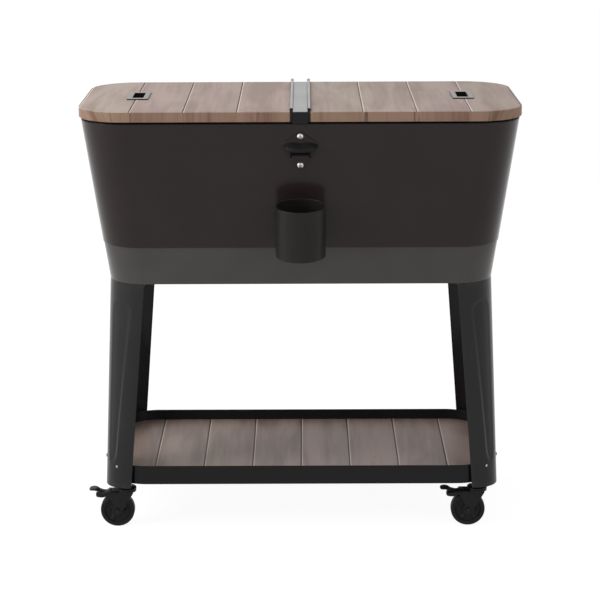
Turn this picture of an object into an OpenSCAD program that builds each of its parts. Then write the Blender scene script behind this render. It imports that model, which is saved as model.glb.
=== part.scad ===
// Rolling cooler cart: an insulated trough with two hinged lids on a four-legged stand.
// The cart faces -Y. The floor is z = 0, and the middle of the whole outline is x = 0, y = 0.

/* [Overall] */
// Height from the floor to the top of the closed lids
cart_h = 932; // [900:1:960]
// Width across both closed lids
lid_w = 940; // [880:1:1000]
// Depth of the lids, front to back
lid_d = 440; // [400:1:480]

/* [Lids] */
// Thickness of each lid
lid_t = 23; // [21:0.5:30]
// Plan radius of the outer lid corners
lid_corner_r = 100; // [85:1:120]
// Radius along the top edge of the lids
lid_edge_r = 2; // [1:0.5:3]
// Shadow gap between the lids and the trough
lid_gap = 3; // [2:0.5:6]
// Board-look skin over the foam
lid_skin_t = 4; // [3:0.5:6]
// Wall of the lid panel around the foam
lid_wall_t = 6; // [4:0.5:10]
// Sheet of the liner under each lid
liner_t = 2; // [1.5:0.1:3]
// How far the liner plug reaches into the mouth
plug_h = 12; // [6:1:20]
// Gap between the plug and the mouth, all round
plug_gap = 5; // [4:0.5:8]
// Width of the soft seal around each plug
seal_w = 9; // [6:0.5:11]
// From the middle of the cart to the first board groove
groove_first_x = 131; // [110:1:150]
// Distance from one board groove to the next
groove_pitch = 112; // [90:1:125]
// Width of a board groove at the surface
groove_w = 2.4; // [1.5:0.1:4]

/* [Pulls] */
// Width of the pull plate, across the boards
pull_w = 46; // [42:1:56]
// Length of the pull plate, along the boards
pull_l = 105; // [98:1:120]
// Thickness of the pull plate
pull_t = 2.5; // [1.5:0.1:4]
// From the outer end of a lid to the middle of its pull
pull_in_x = 118; // [100:1:140]
// Width of the finger slot
slot_w = 24; // [20:0.5:26]
// Length of the finger slot
slot_l = 74; // [60:1:78]
// Depth of the finger cup below the lid's surface
cup_depth = 14; // [10:0.5:15]
// Wall of the finger cup
cup_wall_t = 1.5; // [1:0.1:2]

/* [Centre bridge and hinges] */
// Width of the bar across the mouth
bridge_w = 32; // [28:0.5:40]
// Wall of the bar
bridge_wall_t = 2; // [1.5:0.1:3]
// Thickness of the steel strip on the bar
strip_t = 1.2; // [1:0.1:2]
// How far the strip's long edges stay inside the bar's
strip_inset = 0.8; // [0.5:0.1:2]
// Sheet of the hinge leaves
leaf_t = 1.2; // [1:0.1:1.6]
// Height of a hinge leaf beside the bar
leaf_h = 18; // [12:0.5:20]
// Free space between the two leaves of a hinge
leaf_gap = 2.6; // [2:0.1:3.4]
// Radius of the hinge barrel
barrel_r = 3.4; // [3.2:0.1:4.2]
// Radius of the hinge pin
hinge_pin_r = 1.5; // [1.2:0.1:1.8]
// Knuckles along each hinge
knuckles = 15; // [9:2:21]
// Plastic end cap of the hinges and the bar, front to back
end_cap_t = 3; // [2:0.5:5]

/* [Trough] */
// Height of the trough, from its underside to its rim
body_h = 352; // [330:1:370]
// How far the trough's rim stays inside the lids' outline
body_inset = 4; // [2:0.5:8]
// Taper of each end of the trough, from rim to underside
taper_x = 50; // [30:1:60]
// Taper of the front and of the back, from rim to underside
taper_y = 33; // [20:1:40]
// By how much the corner radius shrinks, from rim to underside
taper_r = 12; // [5:1:20]
// Height of the lower band
band_h = 82; // [60:1:110]
// Height over which the upper shell laps the band
band_lap = 8; // [5:0.5:15]
// Gap between the shell and the band where they lap
lap_gap = 0.3; // [0.2:0.1:1]
// Sheet of the outer shell and of the band
shell_t = 1.2; // [1:0.1:2]
// Sheet of the base pan
pan_t = 1.5; // [1.2:0.1:2.5]
// Turned-up edge of the base pan
pan_edge_h = 12; // [8:1:20]
// Foam in the walls
foam_t = 28; // [20:1:34]
// Foam under the basin
foam_floor_t = 32; // [25:1:45]
// Wall of the basin
basin_t = 2.5; // [2:0.1:3.5]
// Flange of the basin on top of the foam
flange_w = 22; // [10:1:23]
// Thickness of the rim frame
rim_t = 3; // [2.5:0.1:4]
// Depth of the rim frame's skirt
rim_skirt_h = 10; // [6:1:20]
// Width of the rim frame's bar below the bridge
rim_bar_w = 68; // [66:1:80]

/* [Drain] */
// From the outer end of the lids to the drain
drain_in_x = 170; // [150:1:250]
// Bore of the drain spout
drain_bore_r = 6.5; // [5:0.5:8]
// Outer radius of the drain spout
drain_r = 9; // [8.5:0.5:11]
// Radius of the spout's flange in the basin
drain_flange_r = 15; // [14:0.5:18]
// How far the spout stands out behind the trough
drain_reach = 24; // [20:1:28]

/* [Bottle opener and cap catcher] */
// From the trough's rim down to the opener's middle
opener_drop = 58; // [50:1:68]
// Distance between the opener's two screws
opener_screw_gap = 62; // [56:1:66]
// Width of the opener's hood
hood_w = 73; // [66:1:80]
// How far the hood stands out
hood_reach = 24; // [20:1:28]
// Thickness of the opener's plate
opener_plate_t = 3; // [2.5:0.1:4]
// From the trough's rim down to the catcher's middle
catcher_drop = 214; // [206:1:221]
// Outer radius of the cap catcher
catcher_r = 52.5; // [45:0.5:56]
// Height of the cap catcher
catcher_h = 110; // [95:1:116]
// Sheet of the cap catcher
catcher_t = 1.5; // [1.2:0.1:2]
// How far the catcher must be lifted to come off its screws
catcher_lift = 12; // [10:0.5:16]

/* [Legs] */
// Sheet of the legs
leg_t = 2; // [1.5:0.1:3]
// Width of a leg's front at the top
leg_front_top = 78; // [70:1:90]
// Width of a leg's front at the foot
leg_front_foot = 57; // [54:1:70]
// Width of a leg's side at the top
leg_side_top = 105; // [95:1:120]
// Width of a leg's side at the foot
leg_side_foot = 98; // [92:1:110]
// Corner radius of a leg at the foot
leg_foot_r = 50; // [40:1:60]
// Outward lean of the legs across the cart, top to foot
splay_x = 16; // [5:1:25]
// Outward lean of the legs front to back, top to foot
splay_y = 24; // [10:1:30]
// Plates welded into both ends of a leg
leg_plate_t = 4; // [3:0.5:6]
// Depth of the pressed panel in a leg's corner
press_depth = 2; // [1:0.5:3]
// From a leg's lower end up to its pressed panel
press_foot_in = 58; // [50:1:100]
// From a leg's upper end down to its pressed panel
press_top_in = 42; // [34:1:94]

/* [Shelf] */
// Height of the tray's rim
tray_h = 42; // [36:1:60]
// Sheet of the tray
tray_t = 2; // [1.5:0.1:3]
// Plan radius of the tray's corners
tray_corner_r = 88; // [70:1:110]
// Thickness of the shelf boards
board_t = 14; // [10:0.5:18]
// Width of each shelf board, with its joint
board_pitch = 108; // [90:1:120]
// Open joint between two shelf boards
board_joint = 0.6; // [0.4:0.1:1.5]

/* [Casters] */
// From the floor to the legs' lower ends
caster_h = 100; // [98:1:110]
// Radius of the wheels
wheel_r = 37.5; // [34:0.5:38]
// Width of the wheels
wheel_w = 24; // [20:1:28]
// How far the wheel trails behind the swivel stem
trail = 20; // [16:1:22]
// From the leg's end face to the stem, across the cart
stem_in_x = 43.5; // [42:0.5:46]
// From the leg's front face to the stem, front to back
stem_in_y = 44; // [40:0.5:50]
// Radius of the threaded stem
stem_r = 5; // [4:0.5:6]
// Radius of the axle bolt
axle_r = 4; // [3:0.5:5]
// Reach of the brake pedal, from the stem
pedal_reach = 82; // [76:1:82]

/* [Hidden] */
$fn = 64;
// Steps in a quarter turn of the trough's tapered corners
corner_steps = 10;
// Clear space between parts that lie side by side
fit = 0.3;
// Clear space of a pin in its hole
pin_fit = 0.05;
// Clear space of a bolt in its hole, all round
bolt_fit = 0.2;
// Overshoot of a cut past the face it opens, or of a shank into its head
past = 1;
// Inner corner radius of what lies beside the bridge
inner_r = 4;

corners = [["front_left", -1, -1], ["front_right", 1, -1], ["rear_left", -1, 1], ["rear_right", 1, 1]];
sides = [["left", -1], ["right", 1]];

// Heights, from the lids down
lid_top_z = cart_h;
lid_z = lid_top_z - lid_t;
rim_z = lid_z - lid_gap;
body_z = rim_z - body_h;
seam_z = body_z + band_h;
opener_z = rim_z - opener_drop;
catcher_z = rim_z - catcher_drop;
leg_z = caster_h;
leg_h = body_z - leg_z;
press_foot_z = leg_z + press_foot_in;
press_top_z = body_z - press_top_in;

// How far inside the trough's outline each layer of the wall begins
band_in = shell_t + lap_gap;
pan_in = band_in + shell_t + 0.1;
foam_in = pan_in + pan_t + fit;
basin_in = foam_in + foam_t;
cavity_in = basin_in + basin_t;
rim_in = shell_t + 0.2;
seal_gap = 0.2;

// Heights inside the trough
foam_z = body_z + pan_t;
basin_z = foam_z + foam_floor_t;
basin_floor_z = basin_z + basin_t;
basin_top_z = rim_z - rim_t;
foam_top_z = basin_top_z - basin_t;

// Heights inside the lids
skin_z = lid_top_z - lid_skin_t;
plug_z = lid_z - plug_h;

// The trough's outline at any height: half its width, half its depth, and its corner radius
function rise(z) = (z - body_z) / body_h;
function half_x(z) = lid_w / 2 - body_inset - taper_x * (1 - rise(z));
function half_y(z) = lid_d / 2 - body_inset - taper_y * (1 - rise(z));
function plan_r(z) = lid_corner_r - body_inset - taper_r * (1 - rise(z));
wall_tilt = atan(taper_y / body_h);

// The mouth of each half of the trough
mouth_x = half_x(rim_z) - cavity_in;
mouth_y = half_y(rim_z) - cavity_in;
mouth_r = plan_r(rim_z) - cavity_in;

// Hinges
hinge_x = bridge_w / 2 + leaf_t + leaf_gap / 2;
hinge_z = lid_top_z + barrel_r + 0.2;
lid_in_x = hinge_x + leaf_gap / 2 + leaf_t;
leaf_l = lid_d - 2 * (end_cap_t + fit);
leaf_z = lid_top_z - leaf_h;
knuckle_pitch = leaf_l / knuckles;
knuckle_gap = 0.4;
hinge_cap_r = barrel_r + 0.5;

// The bar on the middle of the rim
bridge_h = lid_top_z - strip_t - rim_z;
bridge_l = lid_d - 2 * end_cap_t;
plug_tongue_l = 8;

// Finger cups, and the small radii of their plates
pull_x = lid_w / 2 - pull_in_x;
cup_w = slot_w + 4;
cup_l = slot_l + 4;
pull_corner_r = 4;
pull_edge_r = 0.6;
slot_corner_r = 3;

// Opener: its ears, shoulders and waist as circles, and the hood's walls round the mouth
opener_screw_r = 2.5;
opener_head_r = 6.5;
opener_head_t = 3.2;
opener_ear_r = 9;
opener_shoulder_r = 12;
opener_shoulder_y = 11;
opener_waist = [18, -12, 8];
opener_mouth_w = 40;
opener_mouth_h = 10;
opener_lip_r = 5;
opener_lip_y = 1;
opener_wall_t = 5;
opener_dip_r = opener_head_r + 5;
tooth_w = 28;
tooth_y = -10;
tooth_t = 5;
tooth_h = 4.5;
wall_screw_l = 7;

// The catcher hangs on two screws whose heads lie between its saddle and its wall
saddle_z = 1;
saddle_t = 1.5;
saddle_w = 50;
saddle_h = 40;
head_gap = 0.5;
screw_head_t = 2.4;
catcher_off = saddle_z + saddle_t + head_gap + screw_head_t + 1.5;
catcher_screw_x = 14;
catcher_screw_y = catcher_h / 2 - 22;
small_screw_r = 2;
small_head_r = 4.5;

// The cart's depth runs from the catcher's front lip to the back of the lids
catcher_front_y = half_y(catcher_z) + catcher_h / 2 * sin(wall_tilt)
    + (catcher_off + 2 * catcher_r) * cos(wall_tilt);
home_y = (catcher_front_y - lid_d / 2) / 2;

// Drain fittings, on one line through the back wall
drain_x = lid_w / 2 - drain_in_x;
drain_z = basin_floor_z + drain_flange_r + 3;
drain_flange_t = 3;
gasket_t = 1.5;
drain_nut_t = 6;
drain_cap_r = 13;
drain_cap_end_t = 2.8;
drain_ribs = 16;

// Legs: outline at any height
function fall(z) = (body_z - z) / leg_h;
function leg_x(z) = half_x(body_z) - band_in + splay_x * fall(z);
function leg_y(z) = half_y(body_z) - band_in + splay_y * fall(z);
function leg_r(z) = plan_r(body_z) - band_in + (leg_foot_r - plan_r(body_z) + band_in) * fall(z);
function leg_front_w(z) = leg_front_top + (leg_front_foot - leg_front_top) * fall(z);
function leg_side_w(z) = leg_side_top + (leg_side_foot - leg_side_top) * fall(z);

// The pressed panel of a leg, in degrees around its corner
press_mid = 49.5;
press_half = 19;
press_wall = 3;
press_end = 24;

// Fasteners of the legs and the tray. Hexagons are given by their corner radius.
leg_bolt_r = 3;
leg_bolt_spots = [[28, 76], [52, 34]];
hex_r = 5.8;
bolt_head_t = 4;
leg_nut_t = 5;
nut_room_r = 8;
nut_room_h = leg_nut_t + 4;
tray_head_r = 6.5;
tray_head_t = 3;
tray_nut_t = 4;
tray_bolt_in = 10;
tray_bolt_y = 84;

// Casters, from the leg's plate down
nut_t = 5;
collar_h = 8;
swivel_gap = 0.8;
fork_top_z = leg_z - collar_h - swivel_gap;
head_h = 9;
head_r = 22;
cheek_t = 3;
cheek_y = wheel_w / 2 + 1.5;
cheek_boss_r = axle_r + 6;
cheek_in_x = trail - 2;
web_t = 3;
web_z = fork_top_z - head_h - web_t;
rivet_t = 1.5;
axle_head_t = 3;
stem_x = leg_x(leg_z) - stem_in_x;
stem_y = leg_y(leg_z) - stem_in_y;

// Wheels
wheel_edge_r = 3;
hub_r = 13;
hub_out = 1;
dish_r = wheel_r - 7;

// Brake pedals: the pin, the lever's tip, and how far the lever turns to press the tread
pedal_x = 35;
pedal_z = web_z - 0.5;
pedal_pin_r = 2.5;
pedal_barrel_r = 5;
pedal_tip_r = 3;
pedal_tip_x = pedal_reach - pedal_x - pedal_tip_r;
pedal_tip_z = 6;
pedal_turn = 12;

// Tray, resting above the caster nuts
tray_floor_z = leg_z + leg_plate_t + nut_t + 1.5;
tray_hem = 2.5;
tray_z = tray_floor_z - tray_hem;
tray_top_z = tray_z + tray_h;
tray_x = leg_x(tray_top_z) - leg_t - fit;
tray_y = leg_y(tray_top_z) - leg_t - fit;
board_z = tray_floor_z + tray_t;

walnut = [0.55, 0.45, 0.38];
shell_brown = [0.19, 0.17, 0.16];
band_grey = [0.29, 0.29, 0.28];
leg_black = [0.17, 0.17, 0.17];
trim_black = [0.08, 0.08, 0.08];
steel = [0.75, 0.76, 0.77];
zinc = [0.62, 0.63, 0.65];
basin_white = [0.88, 0.89, 0.90];
foam_cream = [0.93, 0.88, 0.72];
rubber_black = [0.05, 0.05, 0.05];

// Shifts the cart so that the middle of its whole depth is over the origin
module at_home() {
    translate([0, home_y, 0]) children();
}

// Puts a piece made for the right side on either side
module on_side(sx) {
    mirror([sx < 0 ? 1 : 0, 0, 0]) children();
}

// Puts a piece made for the rear right corner in any corner
module in_corner(sx, sy) {
    on_side(sx) mirror([0, sy < 0 ? 1 : 0, 0]) children();
}

// A solid through a stack of closed outlines, each listed anticlockwise from above
module loft(rings) {
    n = len(rings[0]);
    last = len(rings) - 1;
    polyhedron(
        points = [for (ring = rings) each ring],
        faces = concat(
            [[for (k = [0:n - 1]) k]],
            [[for (k = [n - 1:-1:0]) last * n + k]],
            [for (i = [0:last - 1], k = [0:n - 1]) let (m = (k + 1) % n)
                each [[i * n + k, (i + 1) * n + k, (i + 1) * n + m],
                      [i * n + k, (i + 1) * n + m, i * n + m]]]
        )
    );
}

// One rounded rectangle as points at height z
function plan_ring(hx, hy, r, z) = [
    for (quarter = [0:3], k = [0:corner_steps])
        let (a = 90 * (quarter + k / corner_steps),
             cx = (quarter == 0 || quarter == 3 ? 1 : -1) * (hx - r),
             cy = (quarter < 2 ? 1 : -1) * (hy - r))
        [cx + r * cos(a), cy + r * sin(a), z]
];

// A block through the given heights that follows the trough's taper, inset from its outline
module tapered_through(heights, inset) {
    loft([for (z = heights) plan_ring(half_x(z) - inset, half_y(z) - inset, plan_r(z) - inset, z)]);
}

module tapered(z0, z1, inset) {
    tapered_through([z0, z1], inset);
}

// A sheet wall between two heights, open at both ends
module tapered_wall(z0, z1, inset) {
    difference() {
        tapered(z0, z1, inset);
        tapered_through([z0 - past, z0, z1, z1 + past], inset + shell_t);
    }
}

// A rounded slab that spans x0..x1 with a small radius at x0 and a large one at x1
module side_slab(x0, x1, hy, r0, r1, z0, z1) {
    h = z1 - z0;
    translate([x0 + r0, -hy, z0]) cube([x1 - r1 - x0 - r0, 2 * hy, h]);
    translate([x0, -(hy - r0), z0]) cube([r0 + past, 2 * (hy - r0), h]);
    translate([x1 - r1 - past, -(hy - r1), z0]) cube([r1 + past, 2 * (hy - r1), h]);
    for (sy = [-1, 1]) {
        translate([x0 + r0, sy * (hy - r0), z0]) cylinder(r = r0, h = h);
        translate([x1 - r1, sy * (hy - r1), z0]) cylinder(r = r1, h = h);
    }
}

// The same kind of slab, offset from one half of the mouth
module mouth_slab(grow, z0, z1) {
    side_slab(rim_bar_w / 2 - grow, mouth_x + grow, mouth_y + grow,
        inner_r + max(grow, 0), mouth_r + grow, z0, z1);
}

// The same kind of slab, inset from the outline of one lid
module lid_slab(inset, z0, z1) {
    side_slab(lid_in_x + inset, lid_w / 2 - inset, lid_d / 2 - inset,
        inner_r, lid_corner_r - inset, z0, z1);
}

// A rounded rectangle centred on the axis
module rounded_slab(w, d, r, h) {
    translate([-(w / 2 - r), -d / 2, 0]) cube([w - 2 * r, d, h]);
    translate([-w / 2, -(d / 2 - r), 0]) cube([w, d - 2 * r, h]);
    for (sx = [-1, 1], sy = [-1, 1])
        translate([sx * (w / 2 - r), sy * (d / 2 - r), 0]) cylinder(r = r, h = h);
}

// A rounded rectangle whose top edge is rolled to radius e
module rolled_slab(w, d, r, h, e) {
    for (sx = [-1, 1], sy = [-1, 1])
        translate([sx * (w / 2 - r), sy * (d / 2 - r), 0]) rotate_extrude() {
            square([r, h - e]);
            square([r - e, h]);
            translate([r - e, h - e]) circle(r = e);
        }
    rotate([90, 0, 90]) translate([0, 0, -(w / 2 - r)]) linear_extrude(w - 2 * r) rolled_profile(d, h, e);
    rotate([90, 0, 0]) translate([0, 0, -(d / 2 - r)]) linear_extrude(d - 2 * r) rolled_profile(w, h, e);
}

module rolled_profile(w, h, e) {
    translate([-w / 2, 0]) square([w, h - e]);
    translate([-(w / 2 - e), 0]) square([w - 2 * e, h]);
    for (sx = [-1, 1]) translate([sx * (w / 2 - e), h - e]) circle(r = e);
}

// A place on the front or back wall: its Z points out of the wall and its Y up along it
module on_front(x, z) {
    translate([x, -half_y(z), z]) rotate([90 + wall_tilt, 0, 0]) children();
}

module on_back(x, z) {
    translate([x, half_y(z), z]) rotate([0, 0, 180]) rotate([90 + wall_tilt, 0, 0]) children();
}

// Depth below a wall's surface of a layer that is inset by that much in plan
function depth(inset) = inset * cos(wall_tilt);

// Trough

// Holes for the screws of the opener and the catcher, through the shell and into the foam
module front_screw_holes() {
    deep = wall_screw_l + fit;
    for (sy = [-1, 1]) on_front(0, opener_z)
        translate([0, sy * opener_screw_gap / 2, -deep])
            cylinder(r = opener_screw_r + pin_fit, h = 2 * deep);
    for (sx = [-1, 1]) on_front(0, catcher_z)
        translate([sx * catcher_screw_x, catcher_screw_y, -deep])
            cylinder(r = small_screw_r + pin_fit, h = 2 * deep);
}

module outer_shell() color(shell_brown) at_home() {
    difference() {
        tapered_wall(seam_z, rim_z, 0);
        front_screw_holes();
    }
}

module lower_band() color(band_grey) at_home() {
    difference() {
        tapered_wall(body_z, seam_z + band_lap, band_in);
        drain_hole();
    }
}

// The drain's way through the wall
module drain_hole() {
    reach = depth(cavity_in) + past;
    on_back(drain_x, drain_z) translate([0, 0, -reach]) cylinder(r = drain_r + fit, h = 2 * reach);
}

// Spots of the leg bolts, in one corner
module at_leg_bolts() {
    for (spot = leg_bolt_spots)
        translate([leg_x(body_z) - spot[0], leg_y(body_z) - spot[1], body_z]) children();
}

module base_pan() color(leg_black) at_home() {
    difference() {
        tapered(body_z, body_z + pan_edge_h, pan_in);
        tapered(body_z + pan_t, body_z + pan_edge_h + past, pan_in + pan_t);
        for (c = corners) in_corner(c[1], c[2]) at_leg_bolts()
            translate([0, 0, -past]) cylinder(r = leg_bolt_r + bolt_fit, h = pan_t + 2 * past);
    }
}

module body_foam() color(foam_cream) at_home() {
    difference() {
        tapered(foam_z, foam_top_z, foam_in);
        tapered(basin_z, foam_top_z + past, basin_in - fit);
        for (c = corners) in_corner(c[1], c[2]) at_leg_bolts()
            translate([0, 0, pan_t - past]) cylinder(r = nut_room_r, h = nut_room_h + past);
        front_screw_holes();
        drain_hole();
    }
}

module basin() color(basin_white) at_home() {
    difference() {
        union() {
            tapered(basin_z, basin_top_z, basin_in);
            tapered(foam_top_z, basin_top_z, basin_in - flange_w);
        }
        tapered(basin_floor_z, basin_top_z + past, cavity_in);
        drain_hole();
    }
}

module rim_frame() color(trim_black) at_home() {
    difference() {
        tapered(basin_top_z - rim_skirt_h, rim_z, rim_in);
        tapered(basin_top_z - rim_skirt_h - past, basin_top_z, rim_in + rim_t);
        for (s = sides) on_side(s[1]) mouth_slab(0, basin_top_z - past, rim_z + past);
    }
}

// Bridge and hinges

module centre_bridge() color(trim_black) at_home() {
    translate([0, 0, rim_z]) difference() {
        translate([-bridge_w / 2, -bridge_l / 2, 0]) cube([bridge_w, bridge_l, bridge_h]);
        translate([-bridge_w / 2 + bridge_wall_t, -bridge_l / 2 - past, bridge_wall_t])
            cube([bridge_w - 2 * bridge_wall_t, bridge_l + 2 * past, bridge_h - 2 * bridge_wall_t]);
    }
}

module bridge_strip() color(steel) at_home() {
    w = bridge_w - 2 * strip_inset;
    translate([-w / 2, -lid_d / 2, lid_top_z - strip_t]) cube([w, lid_d, strip_t]);
}

module bridge_end_plugs() color(trim_black) at_home() {
    tongue_w = bridge_w - 2 * bridge_wall_t - 2 * fit;
    tongue_h = bridge_h - 2 * bridge_wall_t - 2 * fit;
    for (sy = [-1, 1]) in_corner(1, sy) translate([0, bridge_l / 2, rim_z]) {
        translate([-bridge_w / 2, 0, 0]) cube([bridge_w, end_cap_t, bridge_h]);
        translate([-tongue_w / 2, -plug_tongue_l, bridge_wall_t + fit])
            cube([tongue_w, plug_tongue_l, tongue_h]);
    }
}

// One leaf of the right hinge, with every second knuckle, from the first one given
module hinge_leaf(leaf_x, first) {
    knuckle_l = knuckle_pitch - knuckle_gap;
    difference() {
        union() {
            translate([leaf_x, -leaf_l / 2, leaf_z]) cube([leaf_t, leaf_l, leaf_h]);
            for (k = [first:2:knuckles - 1])
                translate([0, -leaf_l / 2 + k * knuckle_pitch + knuckle_gap / 2, 0]) {
                    translate([leaf_x, 0, lid_top_z - past])
                        cube([leaf_t, knuckle_l, hinge_z - lid_top_z + past]);
                    translate([hinge_x, 0, hinge_z]) rotate([-90, 0, 0])
                        cylinder(r = barrel_r, h = knuckle_l);
                }
        }
        translate([hinge_x, -lid_d / 2, hinge_z]) rotate([-90, 0, 0])
            cylinder(r = hinge_pin_r + pin_fit, h = lid_d);
    }
}

module bridge_hinge_leaves() color(zinc) at_home() {
    for (s = sides) on_side(s[1]) hinge_leaf(bridge_w / 2, 0);
}

module hinge_pins() color(steel) at_home() {
    for (s = sides) on_side(s[1]) translate([hinge_x, -bridge_l / 2, hinge_z]) rotate([-90, 0, 0])
        cylinder(r = hinge_pin_r, h = bridge_l);
}

module hinge_end_caps() color(trim_black) at_home() {
    side_gap = 0.2;
    cap_x = bridge_w / 2 + side_gap;
    cap_w = lid_in_x - 2 * side_gap - cap_x;
    for (c = corners) in_corner(c[1], c[2]) translate([0, lid_d / 2 - end_cap_t, 0]) {
        translate([cap_x, 0, lid_z]) cube([cap_w, end_cap_t, hinge_z - lid_z]);
        translate([hinge_x, 0, hinge_z]) rotate([-90, 0, 0]) cylinder(r = hinge_cap_r, h = end_cap_t);
    }
}

// Lids, made for the right side

module board_grooves() {
    last_x = lid_w / 2 - groove_w;
    for (x = [groove_first_x:groove_pitch:last_x])
        translate([x, -lid_d / 2 - past, lid_top_z]) rotate([0, 45, 0])
            translate([-groove_w / sqrt(8), 0, -groove_w / sqrt(8)])
                cube([groove_w / sqrt(2), lid_d + 2 * past, groove_w / sqrt(2)]);
}

module at_pull() {
    translate([pull_x, 0, lid_top_z]) children();
}

module finger_cup_space(grow) {
    wall = cup_wall_t + grow;
    at_pull() translate([0, 0, -cup_depth - grow])
        rounded_slab(cup_w + 2 * wall, cup_l + 2 * wall, inner_r, cup_depth + grow + past);
}

module lid_panel() color(walnut) {
    difference() {
        intersection() {
            translate([0, 0, lid_z]) rolled_slab(lid_w, lid_d, lid_corner_r, lid_t, lid_edge_r);
            translate([lid_in_x, -lid_d, lid_z - past]) cube([lid_w, 2 * lid_d, lid_t + 2 * past]);
        }
        lid_slab(lid_wall_t, lid_z - past, skin_z);
        board_grooves();
        finger_cup_space(fit);
    }
}

module lid_liner() color(basin_white) {
    difference() {
        union() {
            lid_slab(lid_wall_t + fit, lid_z, lid_z + liner_t);
            mouth_slab(-plug_gap, plug_z, lid_z + liner_t);
        }
        mouth_slab(-plug_gap - liner_t, plug_z + liner_t, lid_z + liner_t + past);
    }
}

module lid_foam() color(foam_cream) {
    difference() {
        union() {
            lid_slab(lid_wall_t + fit, lid_z + liner_t, skin_z);
            mouth_slab(-plug_gap - liner_t - fit, plug_z + liner_t, lid_z + liner_t + past);
        }
        finger_cup_space(fit);
    }
}

module lid_seal() color(rubber_black) {
    difference() {
        mouth_slab(seal_w + 2, rim_z + seal_gap, lid_z);
        mouth_slab(2, rim_z, lid_z + past);
    }
}

module pull_plate() color(steel) {
    at_pull() difference() {
        rolled_slab(pull_w, pull_l, pull_corner_r, pull_t, pull_edge_r);
        translate([0, 0, -past]) rounded_slab(slot_w, slot_l, slot_corner_r, pull_t + 2 * past);
    }
}

module pull_cup() color(trim_black) {
    at_pull() translate([0, 0, -cup_depth]) difference() {
        rounded_slab(cup_w + 2 * cup_wall_t, cup_l + 2 * cup_wall_t, inner_r, cup_depth);
        translate([0, 0, cup_wall_t]) rounded_slab(cup_w, cup_l, inner_r - cup_wall_t, cup_depth);
    }
}

module lid_part(part, sx) at_home() on_side(sx) {
    if (part == "panel") lid_panel();
    if (part == "foam") lid_foam();
    if (part == "liner") lid_liner();
    if (part == "seal") lid_seal();
    if (part == "hinge_leaf") color(zinc) hinge_leaf(lid_in_x - leaf_t, 1);
    if (part == "pull_plate") pull_plate();
    if (part == "pull_cup") pull_cup();
}

// Bottle opener and cap catcher

// A domed screw head with a cross recess, its seat at z = 0
module domed_head(r, h) {
    ball_r = (r * r + h * h) / (2 * h);
    difference() {
        intersection() {
            translate([0, 0, h - ball_r]) sphere(r = ball_r);
            cylinder(r = r, h = h);
        }
        for (a = [0, 90]) rotate([0, 0, a]) translate([-r / 2, -r / 12, h * 0.55]) cube([r, r / 6, h]);
    }
}

module bottle_opener() color(trim_black) at_home() on_front(0, opener_z) {
    shoulder_x = hood_w / 2 - opener_shoulder_r;
    lip_x = opener_mouth_w / 2;
    difference() {
        union() {
            linear_extrude(opener_plate_t) hull() {
                for (sy = [-1, 1]) translate([0, sy * opener_screw_gap / 2])
                    circle(r = opener_ear_r, $fn = 32);
                for (sx = [-1, 1]) translate([sx * shoulder_x, opener_shoulder_y])
                    circle(r = opener_shoulder_r, $fn = 32);
                for (sx = [-1, 1]) translate([sx * opener_waist[0], opener_waist[1]])
                    circle(r = opener_waist[2], $fn = 32);
            }
            // The hood, from its shoulders on the plate to its lip
            hull() for (sx = [-1, 1]) {
                translate([sx * shoulder_x, opener_shoulder_y, 0])
                    cylinder(r = opener_shoulder_r, h = 2 * opener_plate_t, $fn = 32);
                translate([sx * lip_x, opener_lip_y + opener_lip_r + 2, 0])
                    cylinder(r = opener_lip_r + 1, h = hood_reach - opener_wall_t, $fn = 32);
                translate([sx * lip_x, opener_lip_y + opener_lip_r, 0])
                    cylinder(r = opener_lip_r, h = hood_reach, $fn = 32);
            }
        }
        // The mouth, open downwards
        translate([-lip_x, opener_lip_y - opener_shoulder_r, 2 * opener_plate_t])
            cube([opener_mouth_w, opener_shoulder_r + opener_mouth_h,
                  hood_reach - opener_wall_t - 2 * opener_plate_t]);
        for (sy = [-1, 1]) translate([0, sy * opener_screw_gap / 2, -past])
            cylinder(r = opener_screw_r + pin_fit, h = opener_plate_t + 2 * past);
        // Room for the upper screw's head
        translate([0, opener_screw_gap / 2, opener_plate_t]) cylinder(r = opener_dip_r, h = hood_reach);
    }
    // The tooth that catches the cap's edge, sloped on its lower side
    difference() {
        translate([-tooth_w / 2, tooth_y, opener_plate_t - past / 2]) cube([tooth_w, tooth_t, tooth_h]);
        translate([-tooth_w / 2 - past, tooth_y, opener_plate_t + past]) rotate([-35, 0, 0])
            translate([0, -tooth_t, 0]) cube([tooth_w + 2 * past, tooth_t, 2 * tooth_h]);
    }
}

module opener_screws() color(steel) at_home() on_front(0, opener_z) {
    for (sy = [-1, 1]) translate([0, sy * opener_screw_gap / 2, 0]) {
        translate([0, 0, opener_plate_t]) domed_head(opener_head_r, opener_head_t);
        translate([0, 0, -wall_screw_l])
            cylinder(r = opener_screw_r, h = wall_screw_l + opener_plate_t + past / 2);
    }
}

module catcher_screws() color(zinc) at_home() on_front(0, catcher_z) {
    head_z = saddle_z + saddle_t + head_gap;
    for (sx = [-1, 1]) translate([sx * catcher_screw_x, catcher_screw_y, 0]) {
        translate([0, 0, head_z]) cylinder(r = small_head_r, h = screw_head_t);
        translate([0, 0, -wall_screw_l]) cylinder(r = small_screw_r, h = wall_screw_l + head_z + past / 2);
    }
}

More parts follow.
